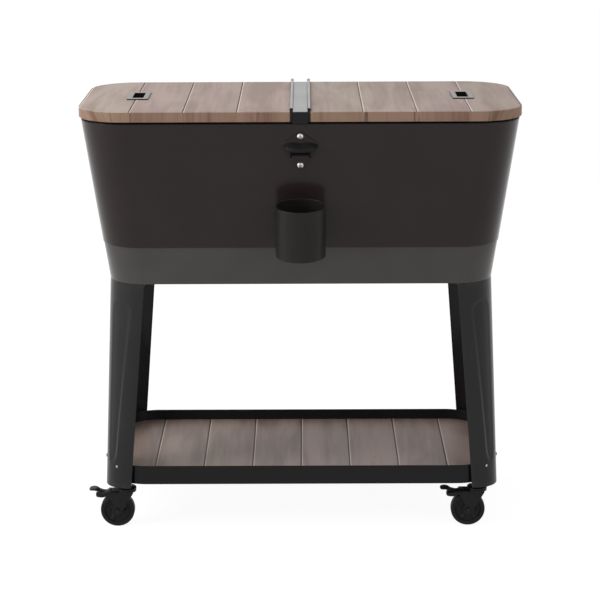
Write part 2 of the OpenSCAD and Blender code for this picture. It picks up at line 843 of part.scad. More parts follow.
module cap_catcher() color(leg_black) at_home() on_front(0, catcher_z) {
    axis_z = catcher_off + catcher_r;
    saddle_y = catcher_screw_y - saddle_h * 0.7;
    web_reach = axis_z - sqrt(catcher_r * catcher_r - saddle_w * saddle_w / 4) + catcher_t / 2;
    keyhole_w = small_screw_r + fit;
    // Cup
    translate([0, 0, axis_z]) rotate([-90, 0, 0]) difference() {
        translate([0, 0, -catcher_h / 2]) cylinder(r = catcher_r, h = catcher_h);
        translate([0, 0, -catcher_h / 2 + catcher_t]) cylinder(r = catcher_r - catcher_t, h = catcher_h);
    }
    // Saddle with two keyholes
    difference() {
        translate([-saddle_w / 2, saddle_y, saddle_z]) cube([saddle_w, saddle_h, saddle_t]);
        for (sx = [-1, 1]) translate([sx * catcher_screw_x, catcher_screw_y, saddle_z - past]) {
            translate([0, -catcher_lift, 0]) cylinder(r = small_head_r + fit, h = saddle_t + 2 * past);
            translate([-keyhole_w, -catcher_lift, 0])
                cube([2 * keyhole_w, catcher_lift, saddle_t + 2 * past]);
            cylinder(r = keyhole_w, h = saddle_t + 2 * past);
        }
    }
    // Webs between saddle and cup
    for (sx = [-1, 1]) translate([sx * (saddle_w / 2 - saddle_t / 2) - saddle_t / 2, saddle_y, saddle_z])
        cube([saddle_t, saddle_h, web_reach - saddle_z]);
}

// Drain, along the outward line of the back wall

module drain_spout() color(trim_black) at_home() on_back(drain_x, drain_z) {
    seat = -depth(cavity_in) - gasket_t;
    difference() {
        union() {
            translate([0, 0, seat - drain_flange_t]) cylinder(r = drain_flange_r, h = drain_flange_t);
            translate([0, 0, seat - past / 2]) cylinder(r = drain_r, h = drain_reach - seat + past / 2);
        }
        translate([0, 0, seat - drain_flange_t - past])
            cylinder(r = drain_bore_r, h = drain_reach - seat + drain_flange_t + 2 * past);
    }
}

module drain_gaskets() color(rubber_black) at_home() on_back(drain_x, drain_z) {
    for (z = [-depth(cavity_in) - gasket_t, -depth(band_in)])
        translate([0, 0, z]) difference() {
            cylinder(r = drain_flange_r, h = gasket_t);
            translate([0, 0, -past]) cylinder(r = drain_r + pin_fit, h = gasket_t + 2 * past);
        }
}

module drain_nut() color(trim_black) at_home() on_back(drain_x, drain_z) {
    translate([0, 0, gasket_t - depth(band_in)]) difference() {
        cylinder(r = drain_flange_r + 1, h = drain_nut_t, $fn = 6);
        translate([0, 0, -past]) cylinder(r = drain_r + pin_fit, h = drain_nut_t + 2 * past, $fn = 64);
    }
}

module drain_cap() color(trim_black) at_home() on_back(drain_x, drain_z) {
    skirt_z = gasket_t + drain_nut_t + 1;
    cap_h = drain_reach + fit + drain_cap_end_t - skirt_z;
    difference() {
        translate([0, 0, skirt_z]) union() {
            cylinder(r = drain_cap_r, h = cap_h);
            for (k = [0:drain_ribs - 1]) rotate([0, 0, k * 360 / drain_ribs])
                translate([drain_cap_r - 0.5, -0.8, 0]) cube([1.3, 1.6, cap_h]);
        }
        translate([0, 0, skirt_z - past])
            cylinder(r = drain_r + pin_fit, h = drain_reach + fit - skirt_z + past);
    }
}

// Legs, made for the rear right corner

// Angle at which the leg's front edge cuts its rounded corner
function arc_end(z) = leg_front_w(z) < leg_r(z) ? acos((leg_r(z) - leg_front_w(z)) / leg_r(z)) : 90;

// Half the pressed panel's angle at height z: full in the middle, round at both ends
function press_angle(z) =
    let (d = min(z - press_foot_z, press_top_z - z))
    d <= 0 ? 2 : d >= press_end ? press_half : max(2, press_half * sqrt(1 - pow(1 - d / press_end, 2)));
function press_at(z) = z > press_foot_z && z < press_top_z ? press_depth : 0;

// The leg's outline at height z, closed across its inner corner, from there to its side edge and
// round the rounded corner to its front edge. Both edges can be moved on by some overshoot.
function leg_outline(z, inset, beyond = 0) =
    let (x = leg_x(z), y = leg_y(z), r = leg_r(z), a = press_angle(z), deep = press_at(z),
         side_y = y - leg_side_w(z) - beyond,
         front_x = min(x - leg_front_w(z), x - r + r * cos(arc_end(z)) - 0.5) - beyond,
         low = press_mid - a - press_wall,
         high = press_mid + a + press_wall,
         stops = concat(
            [[0, 0], [low / 2, 0], [low, 0]],
            [for (t = [-1:0.5:1]) [press_mid + t * a, deep]],
            [[high, 0], [(high + arc_end(z)) / 2, 0], [arc_end(z), 0]]))
    concat(
        [[front_x, side_y, z], [x - inset, side_y, z]],
        [for (s = stops) let (q = r - inset - s[1]) [x - r + q * cos(s[0]), y - r + q * sin(s[0]), z]],
        [[front_x, y - inset, z]]
    );

// Heights at which the leg's outline changes, above its foot and below its top
leg_levels = concat(
    [press_foot_z - 3, press_foot_z],
    [for (d = [1, 5, 12, press_end]) press_foot_z + d],
    [(press_foot_z + press_top_z) / 2],
    [for (d = [press_end, 12, 5, 1]) press_top_z - d],
    [press_top_z, press_top_z + 3]
);

module leg(sx, sy) color(leg_black) at_home() in_corner(sx, sy) {
    difference() {
        loft([for (z = concat([leg_z], leg_levels, [body_z])) leg_outline(z, 0)]);
        loft([for (z = concat([leg_z - past], leg_levels, [body_z + past])) leg_outline(z, leg_t, past)]);
        tray_bolt_hole(leg_x(tray_top_z));
    }
}

// A plate that fills the leg's section just below height z
module leg_plate(z) {
    translate([0, 0, z - leg_plate_t]) linear_extrude(leg_plate_t)
        polygon([for (p = leg_outline(z, leg_t + bolt_fit)) [p[0], p[1]]]);
}

// The plates welded into both ends of each leg
module leg_plates() color(leg_black) at_home() {
    for (c = corners) in_corner(c[1], c[2]) {
        difference() {
            leg_plate(body_z);
            at_leg_bolts() translate([0, 0, -leg_plate_t - past])
                cylinder(r = leg_bolt_r + bolt_fit, h = leg_plate_t + 2 * past);
        }
        difference() {
            leg_plate(leg_z + leg_plate_t);
            translate([stem_x, stem_y, leg_z - past])
                cylinder(r = stem_r + bolt_fit, h = leg_plate_t + 2 * past);
        }
    }
}

module leg_fasteners() color(zinc) at_home() {
    for (c = corners) in_corner(c[1], c[2]) at_leg_bolts() {
        translate([0, 0, -leg_plate_t - bolt_head_t]) cylinder(r = hex_r, h = bolt_head_t, $fn = 6);
        translate([0, 0, -leg_plate_t - past / 2])
            cylinder(r = leg_bolt_r, h = leg_plate_t + pan_t + leg_nut_t + 2 + past / 2);
        translate([0, 0, pan_t]) difference() {
            cylinder(r = hex_r, h = leg_nut_t, $fn = 6);
            translate([0, 0, -past]) cylinder(r = leg_bolt_r + pin_fit, h = leg_nut_t + 2 * past);
        }
    }
}

// Shelf

tray_bolt_z = tray_top_z - tray_bolt_in;
tray_bolt_spot_y = leg_y(tray_top_z) - tray_bolt_y;

// The inner face of the tray's wall, as far from the middle as y, where its corner has begun to bend
function tray_wall_x(y) =
    let (bent = max(0, y - tray_y + tray_corner_r))
    tray_x - tray_corner_r + sqrt(pow(tray_corner_r - tray_t, 2) - bent * bent);

// The hole for a tray bolt through the sheet nearest the given x
module tray_bolt_hole(x) {
    reach = 20;
    translate([x - reach, tray_bolt_spot_y, tray_bolt_z]) rotate([0, 90, 0])
        cylinder(r = leg_bolt_r + bolt_fit, h = 2 * reach);
}

module shelf_tray() color(leg_black) at_home() {
    difference() {
        translate([0, 0, tray_z]) rounded_slab(2 * tray_x, 2 * tray_y, tray_corner_r, tray_h);
        translate([0, 0, tray_z - past]) rounded_slab(2 * (tray_x - tray_t), 2 * (tray_y - tray_t),
            tray_corner_r - tray_t, tray_hem + past);
        translate([0, 0, board_z]) rounded_slab(2 * (tray_x - tray_t), 2 * (tray_y - tray_t),
            tray_corner_r - tray_t, tray_h);
        for (c = corners) in_corner(c[1], c[2]) tray_bolt_hole(tray_x);
    }
}

module shelf_boards() color(walnut) at_home() {
    inset = tray_t + fit;
    bevel = 1;
    boards = 2 * ceil((tray_x - inset) / board_pitch);
    w = board_pitch - board_joint;
    for (k = [0:boards - 1]) intersection() {
        translate([0, 0, board_z]) rounded_slab(2 * (tray_x - inset), 2 * (tray_y - inset),
            tray_corner_r - inset, board_t);
        translate([(k - boards / 2 + 0.5) * board_pitch, 0, board_z]) rotate([90, 0, 0])
            linear_extrude(2 * tray_y, center = true)
                polygon([[-w / 2, 0], [w / 2, 0], [w / 2, board_t - bevel], [w / 2 - bevel, board_t],
                         [-w / 2 + bevel, board_t], [-w / 2, board_t - bevel]]);
    }
}

module tray_fasteners() color(leg_black) at_home() {
    seat_x = leg_x(tray_bolt_z) + fit;
    nut_x = tray_wall_x(tray_bolt_spot_y + hex_r) - tray_nut_t - fit;
    for (c = corners) in_corner(c[1], c[2])
        translate([0, tray_bolt_spot_y, tray_bolt_z]) rotate([0, 90, 0]) {
            translate([0, 0, seat_x]) domed_head(tray_head_r, tray_head_t);
            translate([0, 0, nut_x - 2]) cylinder(r = leg_bolt_r, h = seat_x - nut_x + 2 + past / 2);
            translate([0, 0, nut_x]) difference() {
                cylinder(r = hex_r, h = tray_nut_t, $fn = 6);
                translate([0, 0, -past]) cylinder(r = leg_bolt_r + pin_fit, h = tray_nut_t + 2 * past);
            }
        }
}

// Casters. Each stands with its wheel trailing towards -X.

module at_caster(sx, sy) {
    translate([sx * stem_x, sy * stem_y, 0]) children();
}

module caster_stems() color(zinc) at_home() {
    for (c = corners) at_caster(c[1], c[2]) {
        translate([0, 0, web_z - rivet_t - 0.2]) cylinder(r = stem_r + 3, h = rivet_t);
        translate([0, 0, web_z - rivet_t])
            cylinder(r = stem_r, h = leg_z + leg_plate_t + nut_t - web_z + rivet_t);
        translate([0, 0, leg_z - collar_h]) cylinder(r = stem_r + 5, h = collar_h);
    }
}

module caster_nuts() color(zinc) at_home() {
    for (c = corners) at_caster(c[1], c[2]) translate([0, 0, leg_z + leg_plate_t]) difference() {
        cylinder(r = stem_r + 4, h = nut_t, $fn = 6);
        translate([0, 0, -past]) cylinder(r = stem_r + pin_fit, h = nut_t + 2 * past);
    }
}

// One cheek's outline, seen along the axle
module cheek_outline(braked) {
    hull() {
        translate([-trail, wheel_r]) circle(r = cheek_boss_r, $fn = 32);
        translate([-cheek_in_x, web_z]) square([cheek_in_x + head_r - 6, web_t]);
    }
    if (braked) hull() {
        translate([-pedal_x, pedal_z]) circle(r = pedal_barrel_r, $fn = 32);
        translate([-trail, wheel_r + 12]) circle(r = 6, $fn = 32);
        translate([-cheek_in_x, web_z]) square([8, web_t]);
    }
}

module caster_fork(sx, sy, braked) color(trim_black) at_home() at_caster(sx, sy) {
    out_y = cheek_y + cheek_t;
    difference() {
        union() {
            translate([0, 0, web_z]) cylinder(r = head_r, h = fork_top_z - web_z);
            translate([-cheek_in_x, -out_y, web_z]) cube([cheek_in_x + 12, 2 * out_y, web_t]);
            for (side = [-1, 1]) translate([0, side * (cheek_y + cheek_t / 2) + cheek_t / 2, 0])
                rotate([90, 0, 0]) linear_extrude(cheek_t) cheek_outline(braked);
        }
        translate([0, 0, web_z - past]) cylinder(r = stem_r + pin_fit, h = fork_top_z - web_z + 2 * past);
        translate([-trail, -out_y - past, wheel_r]) rotate([-90, 0, 0])
            cylinder(r = axle_r + pin_fit, h = 2 * (out_y + past));
        if (braked) translate([-pedal_x, -out_y - past, pedal_z]) rotate([-90, 0, 0])
            cylinder(r = pedal_pin_r + pin_fit, h = 2 * (out_y + past));
    }
}

module caster_axle(sx, sy) color(zinc) at_home() at_caster(sx, sy) {
    out_y = cheek_y + cheek_t;
    translate([-trail, -out_y, wheel_r]) rotate([-90, 0, 0]) {
        cylinder(r = axle_r, h = 2 * out_y);
        translate([0, 0, -axle_head_t]) cylinder(r = hex_r, h = axle_head_t, $fn = 6);
        translate([0, 0, 2 * out_y]) cylinder(r = hex_r, h = axle_head_t, $fn = 6);
    }
}

module caster_wheel(sx, sy) color(rubber_black) at_home() at_caster(sx, sy) {
    half = wheel_w / 2;
    edge = wheel_edge_r;
    translate([-trail, 0, wheel_r]) rotate([90, 0, 0]) rotate_extrude() difference() {
        union() {
            translate([0, -(half - edge)]) square([wheel_r, 2 * (half - edge)]);
            translate([0, -half]) square([wheel_r - edge, 2 * half]);
            for (side = [-1, 1]) translate([wheel_r - edge, side * (half - edge)]) circle(r = edge);
            translate([0, -half - hub_out]) square([hub_r, wheel_w + 2 * hub_out]);
        }
        translate([-past, -wheel_w]) square([past + axle_r + pin_fit, 2 * wheel_w]);
        // The dished face between hub and rim
        for (side = [-1, 1]) translate([(hub_r + dish_r) / 2, side * (half + hub_out)])
            square([dish_r - hub_r, 10], center = true);
    }
}

// The pedal turns on its own pin. Its shoe is hollowed to the tread that it presses.
module brake_pedal(sx, sy) color(trim_black) at_home() at_caster(sx, sy) {
    tip = [-pedal_tip_x, pedal_tip_z];
    translate([-pedal_x, 0, pedal_z]) rotate([90, 0, 0]) {
        cylinder(r = pedal_pin_r, h = 2 * (cheek_y + cheek_t), center = true);
        linear_extrude(wheel_w, center = true) difference() {
            union() {
                circle(r = pedal_barrel_r);
                polygon([[0, 4], [-10, 2.5], tip + [0, 2], tip - [0, 2], [-23, -2], [-20, -14], [-3, -9]]);
            }
            rotate(-pedal_turn) translate([pedal_x - trail, wheel_r - pedal_z]) circle(r = wheel_r + fit);
        }
        translate(tip) cylinder(r = pedal_tip_r, h = wheel_w + 6, center = true);
    }
}

outer_shell();
lower_band();
base_pan();
body_foam();
basin();
rim_frame();
centre_bridge();
bridge_strip();
bridge_end_plugs();
bridge_hinge_leaves();
hinge_pins();
hinge_end_caps();
for (s = sides, part = ["panel", "foam", "liner", "seal", "hinge_leaf", "pull_plate", "pull_cup"])
    lid_part(part, s[1]);
bottle_opener();
opener_screws();
cap_catcher();
catcher_screws();
drain_spout();
drain_gaskets();
drain_nut();
drain_cap();
for (c = corners) leg(c[1], c[2]);
leg_plates();
leg_fasteners();
shelf_tray();
shelf_boards();
tray_fasteners();
caster_stems();
caster_nuts();
for (c = corners) {
    caster_fork(c[1], c[2], c[2] < 0);
    caster_axle(c[1], c[2]);
    caster_wheel(c[1], c[2]);
}
brake_pedal(-1, -1);  // brake_pedal_front_left
brake_pedal(1, -1);  // brake_pedal_front_right
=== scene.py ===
"""Looks of the rolling cooler cart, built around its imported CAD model.

Sizes are in millimetres about the middle of the closed lids, with z = 0 on the floor and the front
towards -Y. A mesh is turned into metres and shifted to the frame's own middle when it is made.
"""

import logging
import math
from dataclasses import dataclass
from enum import Enum
from typing import Any, Callable, Sequence

import bmesh
import bpy
import numpy as np
from mathutils import Matrix, Vector


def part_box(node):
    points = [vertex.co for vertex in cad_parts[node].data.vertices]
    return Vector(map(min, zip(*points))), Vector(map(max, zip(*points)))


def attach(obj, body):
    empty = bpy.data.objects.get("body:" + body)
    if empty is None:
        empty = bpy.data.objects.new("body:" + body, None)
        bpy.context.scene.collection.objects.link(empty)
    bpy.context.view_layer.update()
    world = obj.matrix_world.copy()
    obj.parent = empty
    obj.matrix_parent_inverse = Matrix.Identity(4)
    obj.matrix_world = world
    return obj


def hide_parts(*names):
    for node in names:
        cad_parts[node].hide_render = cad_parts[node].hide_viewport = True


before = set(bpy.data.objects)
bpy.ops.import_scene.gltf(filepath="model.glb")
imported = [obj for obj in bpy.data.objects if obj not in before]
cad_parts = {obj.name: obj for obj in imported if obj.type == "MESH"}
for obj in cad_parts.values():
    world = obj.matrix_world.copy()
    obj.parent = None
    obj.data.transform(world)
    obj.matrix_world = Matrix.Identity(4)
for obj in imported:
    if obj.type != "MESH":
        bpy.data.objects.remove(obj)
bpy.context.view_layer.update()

log = logging.getLogger("cart")
MM = 0.001  # a millimetre in metres
WELD = 2e-6  # points this near each other become one, in metres
SAME = 1e-6  # numbers that differ by less count as the same
CREASE = 38.0  # edges sharper than this many degrees stay crisp
DUST = (0.36, 0.34, 0.32)  # colour of settled dust
WORLD_LEVEL = 0.55  # light from all round, as a share of white
Array = np.ndarray
Colour = tuple[float, float, float]


class Place(Enum):
    """A place on the cart, with its name and which way it lies across the cart."""

    @property
    def label(self) -> str:
        """The place's name as the CAD nodes have it."""
        return self.value[0]

    @property
    def sx(self) -> int:
        """-1 on the left, 1 on the right."""
        return self.value[1]


class Side(Place):
    """The left or the right lid."""

    LEFT = ("left", -1)
    RIGHT = ("right", 1)


class Corner(Place):
    """A corner of the stand."""

    FRONT_LEFT = ("front_left", -1, -1)
    FRONT_RIGHT = ("front_right", 1, -1)
    REAR_LEFT = ("rear_left", -1, 1)
    REAR_RIGHT = ("rear_right", 1, 1)

    @property
    def sy(self) -> int:
        """-1 at the front, 1 at the back."""
        return self.value[2]


# Surfaces as arrays


@dataclass
class Patch:
    """A surface as points in millimetres, faces as rows of indices, and a sheet coordinate."""

    points: Array
    faces: list[Array]
    uv: Array | None = None

    def mirrored(self, sx: int, sy: int = 1) -> "Patch":
        """The patch on the other side of the middle, for a sign of -1."""
        uv = None if self.uv is None else self.uv * np.array([sx, sy])
        return Patch(self.points * np.array([sx, sy, 1.0]), self.faces, uv)

    def moved(self, x: float = 0.0, y: float = 0.0, z: float = 0.0) -> "Patch":
        """The patch shifted by x, y and z."""
        return Patch(self.points + np.array([x, y, z]), self.faces, self.uv)

    def turned(self, matrix: Array, origin: Sequence[float] = (0.0, 0.0, 0.0)) -> "Patch":
        """The patch turned by a 3 by 3 matrix and then put at an origin."""
        return Patch(self.points @ matrix.T + np.array(origin), self.faces, self.uv)


def grid(points: Array, wrap_u: bool = False, wrap_v: bool = False, uv: Array | None = None,
         holes: Array | None = None) -> Patch:
    """A sheet of quads over a grid of points.

    Args:
        points: Points in an array of shape (rows, columns, 3).
        wrap_u: Joins the last row to the first one.
        wrap_v: Joins the last column to the first one.
        uv: Sheet coordinates of shape (rows, columns, 2).
        holes: A mask of shape (rows - 1, columns - 1), true where a quad is left out.

    Returns:
        The patch.
    """
    high, wide = points.shape[:2]
    index = np.arange(high * wide).reshape(high, wide)
    if wrap_u:
        index = np.vstack([index, index[:1]])
    if wrap_v:
        index = np.hstack([index, index[:, :1]])
    quads = np.stack([index[:-1, :-1], index[1:, :-1], index[1:, 1:], index[:-1, 1:]], axis=-1)
    quads = quads[~holes] if holes is not None else quads.reshape(-1, 4)
    return Patch(points.reshape(-1, 3), [quads], None if uv is None else uv.reshape(-1, 2))


def fan(ring: Array) -> Patch:
    """A flat cap: triangles from a ring of points to its middle."""
    k = np.arange(len(ring))
    return Patch(np.vstack([ring, ring.mean(axis=0)]), [spread(k, np.roll(k, -1), len(k))])


def join(*patches: Patch) -> Patch:
    """Several patches as one, with a sheet coordinate of zero where a patch has none."""
    points, faces, uvs, base = [], [], [], 0
    for patch in patches:
        points.append(patch.points)
        faces += [part + base for part in patch.faces]
        uvs.append(np.zeros((len(patch.points), 2)) if patch.uv is None else patch.uv)
        base += len(patch.points)
    has_uv = any(patch.uv is not None for patch in patches)
    return Patch(np.vstack(points), faces, np.vstack(uvs) if has_uv else None)


def smooth(x: Array | float) -> Array:
    """A soft step from 0 to 1: three x squared less two x cubed, held flat outside 0..1."""
    t = np.clip(x, 0, 1)
    return t * t * (3.0 - 2.0 * t)


def spread(*parts: Any) -> Array:
    """Coordinates that are spread to one shape and stacked as points."""
    return np.stack(np.broadcast_arrays(*parts), axis=-1)


def angles(start: float, end: float, count: int) -> Array:
    """Even angles from one to another, given in degrees and returned in radians."""
    return np.radians(np.linspace(start, end, count))


def around(steps: int) -> Array:
    """Angles once round, in radians."""
    return np.linspace(0, 2 * np.pi, steps, endpoint=False)


def ways(a: Array) -> Array:
    """Directions in plan at angles in radians."""
    return spread(np.cos(a), np.sin(a))


def arc(centre: Sequence[float], radius: float, start: float, end: float, steps: int = 6) -> Array:
    """Points on a circle between two angles in degrees, as rows of two numbers."""
    return np.array(centre) + radius * ways(angles(start, end, steps + 1))


def rows(*parts: Sequence) -> Array:
    """Single points and arrays of points, stacked into one array."""
    return np.vstack([np.atleast_2d(np.asarray(part, dtype=float)) for part in parts])


def plan_rings(x0: Any, x1: Any, hy: Any, r0: Any, r1: Any, steps: int = 20) -> Array:
    """Rounded rectangles in plan: four quarter circles, joined by straights.

    Args:
        x0: Left side of each rectangle.
        x1: Right side of each.
        hy: Half the depth of each.
        r0: Corner radius at the left side.
        r1: Corner radius at the right side.
        steps: Steps in a quarter turn.

    Returns:
        Points of shape (rectangles, 4 * (steps + 1), 2), anticlockwise from +X.
    """
    x0, x1, hy, r0, r1 = (np.reshape(v, (-1, 1)) for v in (x0, x1, hy, r0, r1))
    quarter = np.repeat(np.arange(4), steps + 1)
    a = np.radians(90.0 * quarter + np.tile(np.linspace(0, 90, steps + 1), 4))
    right = (quarter == 0) | (quarter == 3)
    r = np.where(right, r1, r0)
    x = np.where(right, x1 - r, x0 + r) + r * np.cos(a)
    return spread(x, np.where(quarter < 2, 1.0, -1.0) * (hy - r) + r * np.sin(a))


def raised(rings: Array, z: Any) -> Array:
    """Outlines in plan, of shape (rows, points, 2), each put at its height."""
    return spread(rings[..., 0], rings[..., 1], np.reshape(z, (-1, 1)))


def skinned(rings: Array, z: Any, close: bool = True) -> Patch:
    """A surface through outlines in plan at given heights.

    Args:
        rings: Outlines of shape (rows, points, 2).
        z: The height of each row.
        close: Caps the first and the last outline. Otherwise the last one joins the first.

    Returns:
        A closed patch.
    """
    points = raised(rings, z)
    body = grid(points, wrap_u=not close, wrap_v=True)
    return join(body, fan(points[0]), fan(points[-1])) if close else body


def stacked(hx: Any, hy: Any, r: Any, z: Any, steps: int = 20, close: bool = True) -> Patch:
    """A surface through centred rounded rectangles of half size hx and hy at heights z."""
    return skinned(plan_rings(-np.asarray(hx), hx, hy, r, r, steps), z, close)


def slab(hx: float, hy: float, r: float, z0: float, z1: float, top_roll: float,
         foot_roll: float = 0.2, steps: int = 8) -> Patch:
    """A rounded rectangle with rolled upper and lower edges, and a margin inside each edge."""
    edge = min(1.0, 0.4 * min(hx, hy))
    inset, z = rows((foot_roll + edge, z0), arc((foot_roll, z0 + foot_roll), foot_roll, 270, 180, 2),
                    arc((top_roll, z1 - top_roll), top_roll, 180, 90, 5), (top_roll + edge, z1)).T
    return stacked(hx - inset, hy - inset, np.maximum(r - inset, 0.02), z, steps)


def bar(x: tuple[float, float], y: tuple[float, float], z: tuple[float, float],
        roll: float = 0.3) -> Patch:
    """A block between limits in x, y and z, with all its edges rolled."""
    hx, hy = (x[1] - x[0]) / 2, (y[1] - y[0]) / 2
    return slab(hx, hy, roll, z[0], z[1], roll, roll, 3).moved((x[0] + x[1]) / 2, (y[0] + y[1]) / 2)


def turned_round(profile: Array, steps: int = 64, wrap: bool = False) -> Patch:
    """A profile of radius and height carried once round the z axis.

    Args:
        profile: Rows of radius and height. A radius of zero closes the end.
        steps: Steps in a full turn.
        wrap: Joins the profile's last point to its first, as for a ring.

    Returns:
        The surface.
    """
    rings = profile[:, :1, None] * ways(around(steps))
    return grid(raised(rings, profile[:, 1]), wrap_u=wrap, wrap_v=True)


AXIS_Y = np.array([[1, 0, 0], [0, 0, 1], [0, -1, 0]])
ALONG_X = np.array([[0, 0, 1], [1, 0, 0], [0, 1, 0]])
UPRIGHT = np.array([[1, 0, 0], [0, 0, -1], [0, 1, 0]])


def turn_x(degrees: float) -> Array:
    """The matrix of a turn about the X axis."""
    c, s = math.cos(math.radians(degrees)), math.sin(math.radians(degrees))
    return np.array([[1, 0, 0], [0, c, -s], [0, s, c]])


def turn_z(degrees: float) -> Array:
    """The matrix of a turn about the Z axis."""
    c, s = math.cos(math.radians(degrees)), math.sin(math.radians(degrees))
    return np.array([[c, -s, 0], [s, c, 0], [0, 0, 1]])


def plate_of(outline: Array, z0: float, z1: float, roll: float, margin: float = 0.8) -> Patch:
    """A flat plate with rolled edges, from an outline that lists its points anticlockwise.

    The outline moves inwards along its own normals, by the roll less its sine, as the height goes
    through the roll, then by a margin on the flat, and two fans close both faces.
    """
    along = np.roll(outline, -1, axis=0) - np.roll(outline, 1, axis=0)
    normal = spread(along[:, 1], -along[:, 0])
    normal /= np.linalg.norm(normal, axis=1)[:, None]
    profile = rows((roll + margin, z0), arc((roll, z0 + roll), roll, 270, 180, 3),
                   arc((roll, z1 - roll), roll, 180, 90, 3), (roll + margin, z1))
    return skinned(outline - profile[:, :1, None] * normal, profile[:, 1])


def hull_of(circles: Sequence[tuple[float, float, float]], at: Array | None = None) -> Array:
    """The outline of a band stretched round circles: in each direction, the furthest circle's rim.

    Args:
        circles: Rows of x, y and radius.
        at: Directions in radians, by default once round.

    Returns:
        Points in an array of shape (directions, 2), anticlockwise.
    """
    way = ways(around(96) if at is None else at)
    c = np.asarray(circles, dtype=float)
    furthest = (way @ c[:, :2].T + c[:, 2]).argmax(axis=1)
    return c[furthest, :2] + c[furthest, 2:] * way


def span_of(circles: Sequence[tuple[float, float, float]], z: Array) -> tuple[Array, Array]:
    """Where a band stretched round circles begins and ends at heights z, from left to right."""
    a = angles(-90, 90, 181)
    right, left = hull_of(circles, a), hull_of(circles, np.pi - a)
    return np.interp(z, left[:, 1], left[:, 0]), np.interp(z, right[:, 1], right[:, 0])


def lofted(x: Array, z: Array, half_w: Array, half_h: Array, power: float) -> Patch:
    """A bar along X whose section is a soft-cornered oval.

    At each station the section is half_w times the cosine and half_h times the sine of an angle,
    each raised to a power below one, which fills out its corners. The first and the last station
    have no size and close the ends.
    """
    c, s = (np.sign(v) * np.abs(v) ** power for v in ways(around(32)).T)
    return grid(spread(x[:, None], half_w[:, None] * c, z[:, None] + half_h[:, None] * s), wrap_v=True)


def screw_head(r: float, h: float, cross: float = 0.85, reach: float = 3.0) -> Patch:
    """A domed screw head with a cross recess, its seat at z = 0.

    The dome is a part of a ball. Its height is less by a depth times a mask, which is 1 inside
    either arm of the cross and falls to 0 over the arm's soft walls.
    """
    ball = (r * r + h * h) / (2.0 * h)
    rad = np.hstack([np.linspace(r, reach * 1.15, 8), np.linspace(reach * 1.08, 0, 22)])
    dome = h - ball + np.sqrt(ball * ball - rad * rad) * (1.0 - 1e-9)
    lift = 0.35
    profile = rows((0, 0), (r - 0.2, 0), (r, 0.2), spread(rad, lift + dome * (h - lift) / h))
    patch = turned_round(profile, 96)
    x, y, z = patch.points.T
    arms = [smooth((cross - np.abs(u)) / (0.5 * cross)) * smooth((reach - np.abs(v)) / (0.3 * reach))
            for u, v in ((x, y), (y, x))]
    patch.points[:, 2] = z - np.where(z > lift, np.maximum(*arms) * h * 0.75, 0.0)
    return patch


def hexagon(corner_r: float, bore_r: float, z0: float, z1: float) -> Patch:
    """A nut or a bolt's head: a hexagon whose corners are turned off at both faces.

    The radius at an angle is the hexagon's, and at the faces no more than 0.93 of the corner's.
    With a bore it is a ring, without one it is closed.
    """
    a = around(96)
    side = corner_r * np.cos(np.pi / 6.0)
    hexed = np.minimum(side / np.cos(np.mod(a, np.pi / 3) - np.pi / 6), corner_r * 0.985)
    faced = np.minimum(hexed, corner_r * 0.93)
    drop = (z1 - z0) * 0.14
    radii = [faced, hexed, hexed, faced, faced * 0.9]
    heights = [z0, z0 + drop, z1 - drop, z1, z1]
    if bore_r > 0.0:
        radii += [np.full_like(a, bore_r + 0.4), np.full_like(a, bore_r), np.full_like(a, bore_r)]
        heights += [z1, z1 - 0.4, z0]
    return skinned(np.stack(radii)[..., None] * ways(a), heights, close=bore_r <= 0.0)


def link(name: str, data: Any) -> bpy.types.Object:
    """A new object in the scene."""
    obj = bpy.data.objects.new(name, data)
    bpy.context.scene.collection.objects.link(obj)
    return obj


